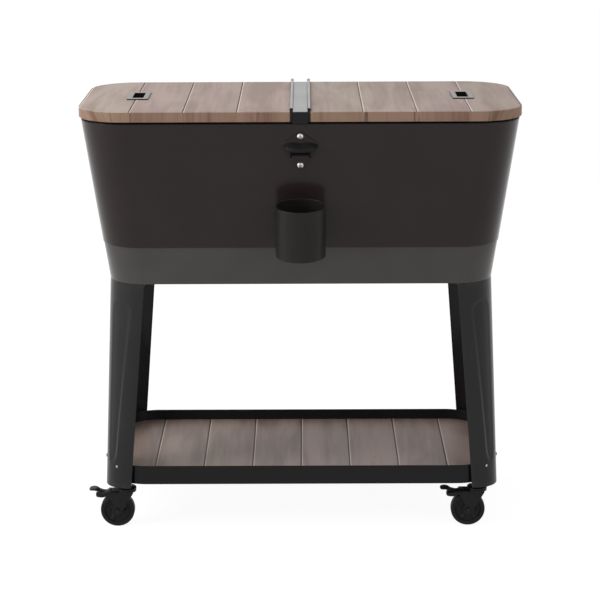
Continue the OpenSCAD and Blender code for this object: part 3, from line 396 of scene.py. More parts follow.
@dataclass
class Workshop:
    """Makes pieces from patches, dresses them and keeps count of them."""

    home_y: float
    finishes: dict[str, bpy.types.Material]
    count: int = 0

    def mesh(self, name: str, patch: Patch, crease: float) -> bpy.types.Mesh:
        """A closed mesh from a patch, in metres and in the frame's own place."""
        mesh = bpy.data.meshes.new(name)
        points = (patch.points + np.array([0.0, self.home_y, 0.0])) * MM
        loops = np.hstack([faces.ravel() for faces in patch.faces])
        sizes = np.hstack([np.full(len(faces), faces.shape[1]) for faces in patch.faces])
        mesh.vertices.add(len(points))
        mesh.vertices.foreach_set("co", points.ravel())
        mesh.loops.add(len(loops))
        mesh.loops.foreach_set("vertex_index", loops)
        mesh.polygons.add(len(sizes))
        mesh.polygons.foreach_set("loop_start", np.hstack([[0], np.cumsum(sizes)[:-1]]))
        mesh.update(calc_edges=True)
        if patch.uv is not None:
            layer = mesh.uv_layers.new(name="sheet")
            layer.uv.foreach_set("vector", (patch.uv[loops] * MM).ravel())
        self.close(mesh, crease)
        return mesh

    def piece(self, name: str, patch: Patch, body: str, slot: str, finish: str, *nodes: str,
              crease: float = CREASE) -> bpy.types.Object:
        """Puts a patch into the scene as a piece that rides on a body.

        Args:
            name: The piece's name.
            patch: Its surface, in millimetres about the middle of the lids.
            body: The CAD body that it rides on.
            slot: The record's material slot. It is not used.
            finish: The name of its finish.
            nodes: The CAD nodes that it stands for.
            crease: Edges sharper than this many degrees stay crisp.

        Returns:
            The new object.
        """
        mesh = self.mesh(name, patch, crease)
        mesh.materials.append(self.finishes[finish])
        obj = link(name, mesh)
        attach(obj, body)
        if nodes:
            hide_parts(*nodes)
        self.count += 1
        log.info("%s: %d faces on %s", name, len(mesh.polygons), body)
        return obj

    def dress(self, finish: str, *nodes: str) -> None:
        """Gives a finish to CAD nodes that stay in view."""
        for name in nodes:
            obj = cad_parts[name]
            if obj.material_slots:
                obj.material_slots[0].material = self.finishes[finish]
            else:
                obj.data.materials.append(self.finishes[finish])
            log.info("%s: kept from the CAD with finish %s", name, finish)

    def pierce(self, obj: bpy.types.Object, *cutters: Patch) -> None:
        """Cuts closed patches out of a piece, and keeps the result as its mesh."""
        tools = [link("cutter", self.mesh("cutter", patch, CREASE)) for patch in cutters]
        for tool in tools:
            cut = obj.modifiers.new("cut", "BOOLEAN")
            cut.operation, cut.object, cut.solver = "DIFFERENCE", tool, "EXACT"
        done = bpy.data.meshes.new_from_object(obj.evaluated_get(bpy.context.evaluated_depsgraph_get()))
        obj.modifiers.clear()
        obj.data = done
        for tool in tools:
            bpy.data.objects.remove(tool)
        self.close(done, CREASE)

    @staticmethod
    def close(mesh: bpy.types.Mesh, crease: float) -> None:
        """Merges a mesh's seams and poles, turns its faces outwards and shades it smooth."""
        work = bmesh.new()
        work.from_mesh(mesh)
        bmesh.ops.remove_doubles(work, verts=work.verts, dist=WELD)
        bmesh.ops.dissolve_degenerate(work, edges=work.edges, dist=WELD / 2)
        bmesh.ops.recalc_face_normals(work, faces=work.faces)
        work.to_mesh(mesh)
        work.free()
        mesh.shade_smooth()
        mesh.set_sharp_from_angle(angle=math.radians(crease))


# Shader graphs


class Graph:
    """Places shader nodes in a tree and links them."""

    def __init__(self, tree: bpy.types.NodeTree) -> None:
        """Starts on an empty tree."""
        self.tree = tree
        tree.nodes.clear()

    def feed(self, socket: Any, value: Any) -> None:
        """Links a socket to another one, or sets its value."""
        if isinstance(value, bpy.types.NodeSocket):
            self.tree.links.new(value, socket)
        elif isinstance(value, (tuple, list)) and socket.type == "RGBA" and len(value) == 3:
            socket.default_value = (*value, 1.0)
        else:
            socket.default_value = value

    def node(self, kind: str, inputs: dict[Any, Any] | None = None, **settings: Any) -> Any:
        """Adds a node.

        Args:
            kind: The node's type.
            inputs: Values or sockets by input name or number.
            settings: The node's own settings.

        Returns:
            The node.
        """
        made = self.tree.nodes.new(kind)
        for key, value in settings.items():
            setattr(made, key, value)
        for key, value in (inputs or {}).items():
            self.feed(made.inputs[key], value)
        return made

    def math(self, operation: str, a: Any, b: Any = 0.0, clamp: bool = False) -> Any:
        """The result of one sum on values."""
        return self.node("ShaderNodeMath", {0: a, 1: b}, operation=operation,
                         use_clamp=clamp).outputs[0]

    def times(self, a: Any, b: Any, clamp: bool = False) -> Any:
        """The product of two values."""
        return self.math("MULTIPLY", a, b, clamp)

    def line(self, value: Any, factor: Any, offset: Any) -> Any:
        """A value times a factor, and an offset added."""
        return self.math("ADD", self.times(value, factor), offset)

    def scaled(self, vector: Any, factors: Sequence[float]) -> Any:
        """A vector with each part multiplied by its own factor."""
        return self.node("ShaderNodeVectorMath", {0: vector, 1: tuple(factors)},
                         operation="MULTIPLY").outputs[0]

    def noise(self, vector: Any, scale: Any, detail: float = 2.0, rough: float = 0.5,
              distort: float = 0.0) -> Any:
        """Cloudy noise between 0 and 1, mostly near a half."""
        return self.node("ShaderNodeTexNoise", {"Vector": vector, "Scale": scale, "Detail": detail,
                         "Roughness": rough, "Distortion": distort}).outputs["Fac"]

    def between(self, value: Any, low: float, high: float, to_low: float = 0.0,
                to_high: float = 1.0) -> Any:
        """A soft step as value goes from low to high."""
        return self.node("ShaderNodeMapRange", {"Value": value, "From Min": low, "From Max": high,
                         "To Min": to_low, "To Max": to_high},
                         interpolation_type="SMOOTHSTEP").outputs["Result"]

    def mix(self, factor: Any, a: Any, b: Any, mode: str = "MIX") -> Any:
        """Two colours mixed."""
        return self.node("ShaderNodeMix", {0: factor, 6: a, 7: b}, data_type="RGBA",
                         blend_type=mode).outputs[2]

    def upward(self) -> Any:
        """How far the surface looks up: the height of its normal."""
        return self.node("ShaderNodeSeparateXYZ", {
            0: self.node("ShaderNodeTexCoord").outputs["Normal"]}).outputs["Z"]

    def effect(self, name: str, **inputs: Any) -> Any:
        """The outputs of a shared effect, which is fed by input name."""
        return self.node("ShaderNodeGroup", inputs, node_tree=bpy.data.node_groups[name]).outputs


def shaded(colour: Colour, share: float) -> Colour:
    """A colour at a share of its light, 0.8 at most in each part."""
    return tuple(min(c * share, 0.8) for c in colour)


class Effects:
    """Node groups that several finishes share, each built once."""

    def build_all(self) -> None:
        """Builds every group."""
        self.build("edge_wear", "Vector Reach", "Mask", self.make_wear)
        self.build("settled_dust", "Vector Amount", "Mask", self.make_dust)
        self.build("sprayed_coat", "Vector Scale", "Height Mottle", self.make_coat)
        self.build("board_print", "Vector Board", "Tone Warmth Streak Vein", self.make_boards)
        self.build("brushed_lines", "Vector", "Height Streak", self.make_brushed)

    @staticmethod
    def build(name: str, inputs: str, outputs: str,
              maker: Callable[[Graph, Any], tuple[Any, ...]]) -> None:
        """Makes a node group.

        Args:
            name: The group's name.
            inputs: Names of its inputs. The one named Vector is a vector, the others are numbers.
            outputs: Names of its outputs.
            maker: The function that fills it, and returns what goes to the outputs.
        """
        tree = bpy.data.node_groups.new(name, "ShaderNodeTree")
        for way, labels in (("INPUT", inputs), ("OUTPUT", outputs)):
            for label in labels.split():
                kind = "NodeSocketVector" if label == "Vector" else "NodeSocketFloat"
                tree.interface.new_socket(name=label, in_out=way, socket_type=kind)
        graph = Graph(tree)
        given, out = graph.node("NodeGroupInput").outputs, graph.node("NodeGroupOutput").inputs
        for socket, value in zip(out, maker(graph, given)):
            graph.feed(socket, value)

    @staticmethod
    def make_wear(graph: Graph, given: Any) -> tuple[Any, ...]:
        """Convex edges, broken up by noise, where a coat has rubbed thin."""
        convex = graph.between(graph.node("ShaderNodeNewGeometry").outputs["Pointiness"], 0.52, 0.62)
        patchy = graph.between(graph.noise(given["Vector"], 90.0, 4.0, 0.6), 0.42, 0.66)
        return (graph.times(graph.times(convex, patchy), given["Reach"], clamp=True),)

    @staticmethod
    def make_dust(graph: Graph, given: Any) -> tuple[Any, ...]:
        """Faces that look up, with uneven fine dust on them."""
        lying = graph.between(graph.upward(), 0.5, 0.98)
        uneven = graph.between(graph.noise(given["Vector"], 24.0, 5.0, 0.65), 0.35, 0.75)
        return (graph.times(graph.times(lying, uneven), given["Amount"], clamp=True),)

    @staticmethod
    def make_coat(graph: Graph, given: Any) -> tuple[Any, ...]:
        """The orange peel of a sprayed coat, and its slow change of tone."""
        slow = graph.noise(given["Vector"], 9.0, 3.0, 0.5)
        return graph.noise(given["Vector"], given["Scale"], 2.0, 0.45), graph.between(slow, 0.3, 0.7)

    @staticmethod
    def make_boards(graph: Graph, given: Any) -> tuple[Any, ...]:
        """Printed wood: broad soft flames, narrower streaks and fine lines along a board."""
        random = graph.node("ShaderNodeTexWhiteNoise", {"W": given["Board"]},
                            noise_dimensions="1D").outputs["Color"]
        place = graph.node("ShaderNodeVectorMath", {0: given["Vector"],
                           1: graph.scaled(random, (7.0, 9.0, 5.0))}, operation="ADD").outputs[0]
        broad, middle, fine, vein, warmth = (
            graph.noise(graph.scaled(place, (across, along, 1.0)), 1.0, *look)
            for across, along, look in (
                (13.0, 2.2, (2.0, 0.5, 1.1)), (70.0, 3.2, (4.0, 0.55, 0.5)), (460.0, 7.0, (3.0, 0.6)),
                (34.0, 1.5, (2.0, 0.5, 0.8)), (9.0, 1.6, (2.0,))))
        tone = graph.line(fine, 0.16, graph.line(middle, 0.26, graph.times(broad, 0.58)))
        near = graph.math("ABSOLUTE", graph.math("SUBTRACT", vein, 0.5))
        return tone, warmth, fine, graph.times(graph.between(near, 0.0, 0.014, 1.0, 0.0),
                                               graph.between(middle, 0.42, 0.62))

    @staticmethod
    def make_brushed(graph: Graph, given: Any) -> tuple[Any, ...]:
        """Fine lines that run front to back, as from a belt."""
        lines = graph.noise(graph.scaled(given["Vector"], (2600.0, 14.0, 2600.0)), 1.0, 3.0, 0.7)
        return lines, graph.between(lines, 0.3, 0.7)


@dataclass(frozen=True)
class Finish:
    """A finish that becomes one material.

    Attributes:
        name: The material's name.
        colour: Its main colour.
        roughness: How dull it is.
        specular: How strong its plain reflection is.
    """

    name: str
    colour: Colour
    roughness: float = 0.5
    specular: float = 0.5

    def material(self) -> bpy.types.Material:
        """Builds the material. The shared effects have to be there."""
        made = bpy.data.materials.new(self.name)
        made.use_nodes = True
        graph = Graph(made.node_tree)
        shader = graph.node("ShaderNodeBsdfPrincipled", {"Base Color": self.colour,
                            "Roughness": self.roughness, "Specular IOR Level": self.specular})
        self.fill(graph, shader)
        graph.feed(graph.node("ShaderNodeOutputMaterial").inputs["Surface"], shader.outputs[0])
        made.diffuse_color = (*self.colour, 1.0)
        return made

    def fill(self, graph: Graph, shader: Any) -> None:
        """Adds this finish's own detail to its shader."""

    def weather(self, graph: Graph, grain: float, darker: float, reach: float, worn: Colour,
                dust: float) -> tuple[Any, Any, Any]:
        """A mottled colour with rubbed edges and dust.

        Args:
            graph: The material's graph.
            grain: Size of the surface grain, as noise scale.
            darker: How much light the darker mottle keeps.
            reach: How much of the edges has rubbed.
            worn: Colour where they have.
            dust: How much dust lies on it.

        Returns:
            The colour, the grain's outputs and the mask of the dust.
        """
        place = graph.node("ShaderNodeTexCoord").outputs["Object"]
        coat = graph.effect("sprayed_coat", Vector=place, Scale=grain)
        rubbed = graph.effect("edge_wear", Vector=place, Reach=reach)["Mask"]
        settled = graph.effect("settled_dust", Vector=place, Amount=dust)["Mask"]
        tone = graph.mix(coat["Mottle"], shaded(self.colour, darker), self.colour)
        return graph.mix(settled, graph.mix(rubbed, tone, worn), DUST), coat, settled

    @staticmethod
    def apply(graph: Graph, shader: Any, tone: Any, dull: Any, height: Any, depth: float) -> None:
        """Feeds the shader its colour, its roughness and a relief of a depth in metres."""
        relief = graph.node("ShaderNodeBump", {"Distance": depth, "Height": height})
        for label, value in (("Base Color", tone), ("Roughness", dull),
                             ("Normal", relief.outputs["Normal"])):
            graph.feed(shader.inputs[label], value)


@dataclass(frozen=True)
class Paint(Finish):
    """Sprayed paint on steel or on cast iron.

    Attributes:
        peel: Size of its orange peel, as noise scale.
        depth: Height of the peel, in metres.
        worn: Colour where edges have rubbed.
        wear: How much of the edges has rubbed.
        dust: How much dust lies on it.
        gloss: Weight, index and roughness of the clear layer on top.
    """

    peel: float = 900.0
    depth: float = 0.00006
    worn: Colour = (0.12, 0.115, 0.11)
    wear: float = 0.5
    dust: float = 0.04
    gloss: tuple[float, float, float] = (1.0, 1.25, 0.16)

    def fill(self, graph: Graph, shader: Any) -> None:
        """Mottled colour with rubbed edges and dust, over orange peel."""
        for label, value in zip(("Coat Weight", "Coat IOR", "Coat Roughness"), self.gloss):
            shader.inputs[label].default_value = value
        tone, coat, dust = self.weather(graph, self.peel, 0.88, self.wear, self.worn, self.dust)
        dull = graph.line(dust, 0.6, graph.line(coat["Mottle"], 0.07, self.roughness - 0.03))
        self.apply(graph, shader, tone, dull, coat["Height"], self.depth)


@dataclass(frozen=True)
class BoardPrint(Finish):
    """Board look printed on a smooth skin, with a sheet coordinate along the boards.

    Attributes:
        light: Colour of the palest wood on the top, paled by a painted sheen.
        dark: Colour of the darker wood on the top, paled by the same painted sheen.
        edge_light: Palest colour of the wood on the sides.
        edge_dark: Darkest colour there.
        vein: Colour of the thin veins.
        first: From the middle of the cart to the first joint, in metres.
        pitch: Width of a board, in metres.
        joint: Half the width of a joint, in metres.
    """

    light: Colour = (0.36, 0.28, 0.22)
    dark: Colour = (0.10, 0.06, 0.045)
    edge_light: Colour = (0.252, 0.165, 0.122)
    edge_dark: Colour = (0.160, 0.097, 0.070)
    vein: Colour = (0.06, 0.032, 0.024)
    first: float = 0.131
    pitch: float = 0.112
    joint: float = 0.0018

    def fill(self, graph: Graph, shader: Any) -> None:
        """Wood tones from the shared print, a top paled by painted sheen and browner sides, joints, and
        relief along the grain.

        A joint is a dark line with a pale painted highlight on its right, which stands in for the far
        flank catching light.
        """
        sheet = graph.node("ShaderNodeUVMap", uv_map="sheet").outputs["UV"]
        split = graph.node("ShaderNodeSeparateXYZ", {0: sheet}).outputs
        across = graph.math("ABSOLUTE", split["X"])
        sign = graph.math("SIGN", split["X"])
        step = graph.math("DIVIDE", graph.math("SUBTRACT", across, self.first), self.pitch)
        board = graph.line(sign, 0.83, graph.math("FLOOR", step))
        wood = graph.effect("board_print", Vector=sheet, Board=board)
        upper = graph.node("ShaderNodeAttribute", attribute_name="board_face").outputs["Fac"]
        # The top mixes paler colours than the sides: a painted sheen.
        top = graph.mix(graph.between(wood["Tone"], 0.36, 0.60), self.dark, self.light)
        side = graph.mix(graph.between(wood["Tone"], 0.36, 0.52), self.edge_dark, self.edge_light)
        warm = graph.between(wood["Warmth"], 0.35, 0.65)
        tint = graph.mix(warm, (0.99, 1.0, 0.96), (1.03, 0.98, 1.0))
        tone = graph.mix(1.0, graph.mix(upper, side, top), tint, "MULTIPLY")
        shade = graph.node("ShaderNodeTexWhiteNoise", {"W": board}, noise_dimensions="1D")
        level = graph.line(shade.outputs["Value"], 0.09, 0.955)
        tone = graph.mix(1.0, tone, graph.node("ShaderNodeCombineXYZ",
                         {0: level, 1: level, 2: level}).outputs[0], "MULTIPLY")
        # Veins show less on the top, under the painted sheen.
        veined = graph.times(wood["Vein"], graph.math("SUBTRACT", 0.75, graph.times(upper, 0.55)))
        tone = graph.mix(veined, tone, self.vein)
        off = graph.math("SUBTRACT", graph.math("FRACT", graph.math("ADD", step, 0.5)), 0.5)
        off = graph.times(graph.times(off, self.pitch), sign)
        # First the dark joint, then a pale painted highlight beside it for the far flank catching light.
        for shift, soft, share, colour in ((0.6, 0.2, 1.0, shaded(self.dark, 0.2)),
                                           (-0.7, 0.3, 0.8, shaded(self.light, 2.1))):
            away = graph.math("ABSOLUTE", graph.math("ADD", off, self.joint * shift))
            near = graph.between(graph.math("SUBTRACT", self.joint * 0.5, away), -self.joint * 0.3,
                                 self.joint * soft)
            line = graph.times(graph.times(near, upper), share)
            tone = graph.mix(line, tone, colour)
        dull = graph.line(wood["Streak"], 0.14, self.roughness - 0.07)
        self.apply(graph, shader, tone, dull, wood["Streak"], 0.00008)


@dataclass(frozen=True)
class Steel(Finish):
    """Bare or plated metal.

    Attributes:
        brushed: Lines from a belt, or the fine grain of plating.
        depth: Height of its grain, in metres.
        painted_side_shade: How much of its colour its upright faces keep, as painted shade.
    """

    brushed: bool = True
    depth: float = 0.00003
    painted_side_shade: float = 1.0

    def fill(self, graph: Graph, shader: Any) -> None:
        """Streaked or mottled metal with a fine grain and dulled patches, and painted shade on upright
        faces when asked.
        """
        shader.inputs["Metallic"].default_value = 1.0
        place = graph.node("ShaderNodeTexCoord").outputs["Object"]
        coat = graph.effect("sprayed_coat", Vector=place, Scale=1400.0)
        lines = graph.effect("brushed_lines", Vector=place)
        detail, height = ((lines["Streak"], lines["Height"]) if self.brushed
                          else (coat["Mottle"], coat["Height"]))
        tone = graph.mix(detail, shaded(self.colour, 0.84), self.colour)
        # Painted shade: upright faces darkened to a share of the colour.
        if self.painted_side_shade < 1.0:
            tone = graph.mix(graph.between(graph.upward(), 0.35, 0.8), shaded(self.colour, self.painted_side_shade),
                             tone)
        dull = graph.line(coat["Mottle"], 0.05, graph.line(detail, 0.12, self.roughness - 0.06))
        self.apply(graph, shader, tone, dull, height, self.depth)


@dataclass(frozen=True)
class Moulded(Finish):
    """Moulded plastic, rubber or foam.

    Attributes:
        grain: Size of its surface grain, as noise scale.
        depth: Height of the grain, in metres.
        scuff: How much paler its rubbed places are.
        dust: How much dust lies on it.
    """

    grain: float = 1200.0
    depth: float = 0.00005
    scuff: float = 0.12
    dust: float = 0.03

    def fill(self, graph: Graph, shader: Any) -> None:
        """Grained plastic with rubbed edges and a little dust."""
        paler = tuple(min(1.0, c + self.scuff) for c in self.colour)
        tone, coat, _ = self.weather(graph, self.grain, 0.93, 0.6, paler, self.dust)
        dull = graph.line(coat["Mottle"], 0.08, self.roughness - 0.04)
        self.apply(graph, shader, tone, dull, coat["Height"], self.depth)


FINISHES: tuple[Finish, ...] = (
    # The boards' top colours carry a painted sheen that the side colours lack.
    BoardPrint("lid_board_print", (0.33, 0.268, 0.235), 0.5, 0.05, light=(0.385, 0.312, 0.279),
               dark=(0.285, 0.22, 0.193)),
    BoardPrint("shelf_board_print", (0.2, 0.16, 0.14), 0.45, 0.3, light=(0.268, 0.206, 0.177),
               dark=(0.165, 0.122, 0.105), first=0.0, pitch=0.108, joint=0.0024),
    Paint("dark_brown_paint", (0.0175, 0.012, 0.0113), 0.4, 0.05, worn=(0.035, 0.03, 0.028)),
    Paint("grey_band_paint", (0.053, 0.050, 0.048), 0.42, 0.05, worn=(0.09, 0.086, 0.082)),
    Paint("black_leg_paint", (0.0182, 0.017, 0.0172), 0.36, 0.08, worn=(0.035, 0.034, 0.033),
          gloss=(0.5, 1.25, 0.16)),
    Paint("black_tray_paint", (0.0065, 0.006, 0.006), 0.4, 0.05, worn=(0.03, 0.029, 0.028),
          gloss=(0.7, 1.25, 0.2)),
    Paint("cup_paint", (0.0165, 0.015, 0.0139), 0.36, 0.08, worn=(0.03, 0.028, 0.026),
          gloss=(0.3, 1.25, 0.3)),
    # The visor, cheeks and tooth get a much darker copy of the plate's paint, though they are one
    # casting: painted shade.
    Paint("cast_opener_shade_paint", (0.0045, 0.0042, 0.0042), 0.45, 0.1, peel=420.0, depth=0.00018,
          worn=(0.03, 0.028, 0.027), wear=0.4, dust=0.02, gloss=(0.3, 1.3, 0.35)),
    Paint("opener_plate_paint", (0.0172, 0.0122, 0.0115), 0.45, 0.08, peel=420.0,
          depth=0.0001, worn=(0.03, 0.028, 0.027), wear=0.2, gloss=(0.6, 1.25, 0.22)),
    Paint("caster_black", (0.0062, 0.0064, 0.0064), 0.34, 0.16, worn=(0.05, 0.05, 0.05),
          wear=0.45, dust=0.03, gloss=(0.0, 1.25, 0.2)),
    Steel("brushed_strip", (0.325, 0.33, 0.332), 0.36),
    # The pull plate's upright edges keep a hundredth of its colour: painted shade.
    Steel("pull_plate_steel", (0.275, 0.262, 0.252), 0.4, painted_side_shade=0.01),
    Steel("hinge_steel", (0.345, 0.325, 0.325), 0.34, brushed=False),
    Steel("zinc_plate", (0.42, 0.43, 0.44), 0.38, brushed=False),
    Steel("black_zinc", (0.022, 0.022, 0.024), 0.24, brushed=False),
    Steel("bright_screw", (0.47, 0.47, 0.47), 0.34, brushed=False, depth=0.00001),
    Moulded("white_liner", (0.66, 0.67, 0.68), 0.34, 0.4, 700.0, 0.00003, 0.02, 0.008),
    Moulded("cream_foam", (0.85, 0.78, 0.60), 0.85, 0.2, 380.0, 0.0006, 0.03),
    Moulded("black_plastic", (0.0085, 0.0088, 0.0085), 0.45, 0.15, 1500.0, 0.00005, 0.015),
    Moulded("seal_rubber", (0.012, 0.012, 0.012), 0.75, 0.2, 900.0, 0.00006, 0.02),
    Moulded("wheel_rubber", (0.0062, 0.0066, 0.0066), 0.5, 0.15, 1100.0, 0.00006, 0.02),
)


# Lids


@dataclass
class Lid:
    """One of the two lids: board-look panel, pull plate and finger cup."""

    side: Side
    inner_x: float = 21.0
    half_w: float = 470.0
    half_d: float = 220.0
    foot_z: float = 909.0
    hem_z: float = 909.8
    top_z: float = 932.0
    corner_r: float = 100.0
    edge_r: float = 2.0
    foot_r: float = 1.2
    wall: float = 6.0
    skin: float = 4.0
    groove_first: float = 131.0
    groove_pitch: float = 112.0
    groove_half: float = 1.2
    groove_depth: float = 1.2
    pull_x: float = 352.0
    pull_half: tuple[float, float] = (23.0, 52.5)
    pull_t: float = 2.5
    slot_half: tuple[float, float] = (12.0, 37.0)
    cup_half: tuple[float, float] = (14.0, 39.0)
    cup_deep: float = 14.0
    cup_wall: float = 1.5
    clear: float = 0.3
    rim_z: float = 906.0
    plug_z: float = 897.0
    liner_t: float = 2.0
    plug_gap: float = 5.0
    mouth: tuple[float, float, float, float, float] = (34.0, 430.9, 180.9, 4.0, 60.9)

    def columns(self) -> tuple[Array, Array]:
        """Where the panel's top has its columns.

        Returns:
            The x of each column, and half the depth of the top at it.
        """
        e, straight = self.edge_r, self.half_w - self.corner_r
        near = np.array([-2.2, -1.2, -0.6, 0.0, 0.6, 1.2, 2.2]) * self.groove_half / 1.2
        hole = self.pull_x + np.array([-1.0, 1.0]) * self.hole[0]
        plain = np.linspace(self.inner_x + e, straight, 36)
        spots = np.hstack([(self.grooves[:, None] + near).ravel(), hole])
        plain = plain[np.abs(plain[:, None] - spots).min(axis=1) > 2.0]
        x = np.unique(np.hstack([plain, spots, [self.inner_x + e, straight]]))
        a = angles(0, 90, 25)[1:]
        r = self.corner_r - e
        depth = np.hstack([np.full(len(x), self.half_d - e),
                           self.half_d - self.corner_r + r * np.cos(a)])
        return np.hstack([x, straight + r * np.sin(a)]), depth

    @property
    def grooves(self) -> Array:
        """The x of each groove between two boards."""
        return np.arange(self.groove_first, self.half_w - self.corner_r, self.groove_pitch)

    @property
    def hole(self) -> tuple[float, float]:
        """Half the size of the panel's hole for the finger cup."""
        grow = self.cup_wall + self.clear
        return (self.cup_half[0] + grow, self.cup_half[1] + grow)

    def sheet_rows(self) -> Array:
        """Where the top has its rows, from -1 at the front to 1 at the back."""
        flat = self.half_d - self.edge_r
        edge = 1.0 - np.array([0.0, 1.2, 2.6, 5.0, 10.0]) / flat
        hole = self.hole[1] / flat
        half = np.unique(np.hstack([np.linspace(0, 0.93, 14), [hole], edge]))
        half = half[(np.abs(half - hole) > 0.02) | (half == hole)]
        return np.hstack([-half[:0:-1], half])

    def rim_loop(self, top: Array) -> tuple[Array, Array, Array]:
        """The border of the top, once round from the inner front corner.

        Args:
            top: The top's points, of shape (columns, rows, 3).

        Returns:
            The border's points in plan, their outward directions and their mitred directions.
        """
        front, back = top[:, 0, :2], top[::-1, -1, :2]
        outer, inner = top[-1, 1:-1, :2], top[0, -2:0:-1, :2]
        flat, reach = self.half_w - self.corner_r, self.corner_r - self.edge_r
        out_x = np.clip((front[:, 0] - flat) / reach, 0, 1)
        n_front = spread(out_x, -np.sqrt(1.0 - out_x ** 2))
        turn = angles(0, 90, 5)
        points = np.vstack([front[[0] * 4], front, outer, back, back[[-1] * 4], inner])
        way = np.vstack([-ways(turn)[:-1], n_front, outer * 0.0 + [1.0, 0.0], n_front[::-1] * [1.0, -1.0],
                         spread(-np.sin(turn), np.cos(turn))[1:], inner * 0.0 - [1.0, 0.0]])
        mitre = way.copy()
        mitre[:5] = (-1.0, -1.0)
        tail = len(points) - len(inner)
        mitre[tail - 5:tail] = (-1.0, 1.0)
        return points, way, mitre

    def panel(self) -> Patch:
        """The board-look panel of the right lid: a closed shell with a hole for the finger cup.

        The top is a grid of columns across the boards and rows along them. Its height drops by a V
        at each groove, and the V fades out near the front and the back. From the top's border the
        surface rolls over by a quarter circle, runs down the side, turns in under the wall, and goes
        up again to the underside of the skin, which is the same grid moved in. The sheet coordinate
        is the place on the top, and goes on outwards over the border by the length of the surface.

        Returns:
            The patch.
        """
        x, depth = self.columns()
        v = self.sheet_rows()
        y = depth[:, None] * v
        off = np.abs(x[:, None] - self.grooves).min(axis=1)
        vee = np.clip(1 - off / self.groove_half, 0, 1)
        fade = smooth((self.half_d - np.abs(y)) / self.edge_r / 2.4 - 0.6)
        top = spread(x[:, None], y, self.top_z - self.groove_depth * vee[:, None] * fade)
        mid_x, mid_y = (x[1:] + x[:-1]) / 2, (y[:, 1:] + y[:, :-1])[:-1] / 2
        inside = ((np.abs(mid_x - self.pull_x) < self.hole[0])[:, None]
                  & (np.abs(mid_y) < self.hole[1]))
        border, way, mitre = self.rim_loop(top)
        e, f, tall = self.edge_r, self.foot_r, self.top_z - self.hem_z
        profile = rows(arc((0, -e), e, 90, 0, 5), (e, -tall * 0.35), (e, -tall * 0.7),
                       arc((e - f, f - tall), f, 0, -90, 3))
        run = np.hstack([[0.0], np.cumsum(np.linalg.norm(np.diff(profile, axis=0), axis=1))])
        strip = raised(border + way * profile[:, :1, None], self.top_z + profile[:, 1])
        under = raised((border - mitre * (self.wall - e))[None],
                       (self.hem_z, self.hem_z + 8.0, self.top_z - self.skin))
        shrink = (self.half_d - self.wall) / (self.half_d - e)
        r_low, flat = self.corner_r - self.wall, self.half_w - self.corner_r
        bend = np.clip((x - flat) / (self.corner_r - e), 0, 1)
        half = np.where(bend > 0, self.half_d - self.corner_r + r_low * np.sqrt(1 - bend ** 2),
                        depth * shrink)
        low_x = np.where(bend > 0, flat + r_low * bend, np.maximum(x, self.inner_x + self.wall))
        low = spread(low_x[:, None], half[:, None] * v, self.top_z - self.skin)
        near = ((np.abs(x - self.pull_x) <= self.hole[0] + SAME)[:, None]
                & (np.abs(np.abs(y) - self.hole[1]) < SAME))
        low[near, 1] = y[near]
        return join(grid(top, uv=top[..., :2], holes=inside),
                    grid(strip, wrap_v=True, uv=border + way * run[:, None, None]),
                    grid(np.vstack([strip[-1:], under]), wrap_v=True), grid(low, holes=inside),
                    self.sleeve(x, v, depth, top, low))

    def sleeve(self, x: Array, v: Array, depth: Array, top: Array, low: Array) -> Patch:
        """The wall of the hole, between its border on the top and the one on the skin's underside."""
        cols = np.abs(x - self.pull_x) <= self.hole[0] + SAME
        row = np.abs(v * depth[0]) <= self.hole[1] + SAME
        hole = np.stack([top, low])[:, cols][:, :, row]
        return grid(np.hstack([hole[:, :, 0], hole[:, -1, 1:], hole[:, -2::-1, -1],
                               hole[:, 0, -2:0:-1]]), wrap_v=True)

    def pull_plate(self) -> Patch:
        """The pull plate: a ring between a rounded rectangle and its slot, with rolled edges."""
        e, t = 0.6, self.pull_t
        outer = rows((0, 0), (0, t - e), arc((e, t - e), e, 180, 90, 4))
        inner = rows(arc((-e, t - e), e, 90, 0, 4), (0, 0))
        hx, hy, r = (np.hstack([big - outer[:, 0], small - inner[:, 0]]) for big, small in (
            *zip(self.pull_half, self.slot_half), (5.0, 3.0)))
        z = rows(outer, inner)[:, 1] + self.top_z
        return stacked(hx, hy, r, z, 8, close=False).moved(x=self.pull_x)

    def pull_cup(self) -> Patch:
        """The finger cup: wall, rolled bottom corner and floor, closed inside and out."""
        w, r = self.cup_wall, 3.0
        floor = self.top_z - self.cup_deep
        inset, z = rows(arc((2 - w, floor + 2), 2, 270, 180, 4), (-w, self.top_z),
                        (0, self.top_z), arc((r, floor + w + r), r, 180, 270, 5)).T
        hx, hy = (half - inset for half in self.cup_half)
        return stacked(hx, hy, np.maximum(4 - inset, 0.4), z, 8).moved(x=self.pull_x)

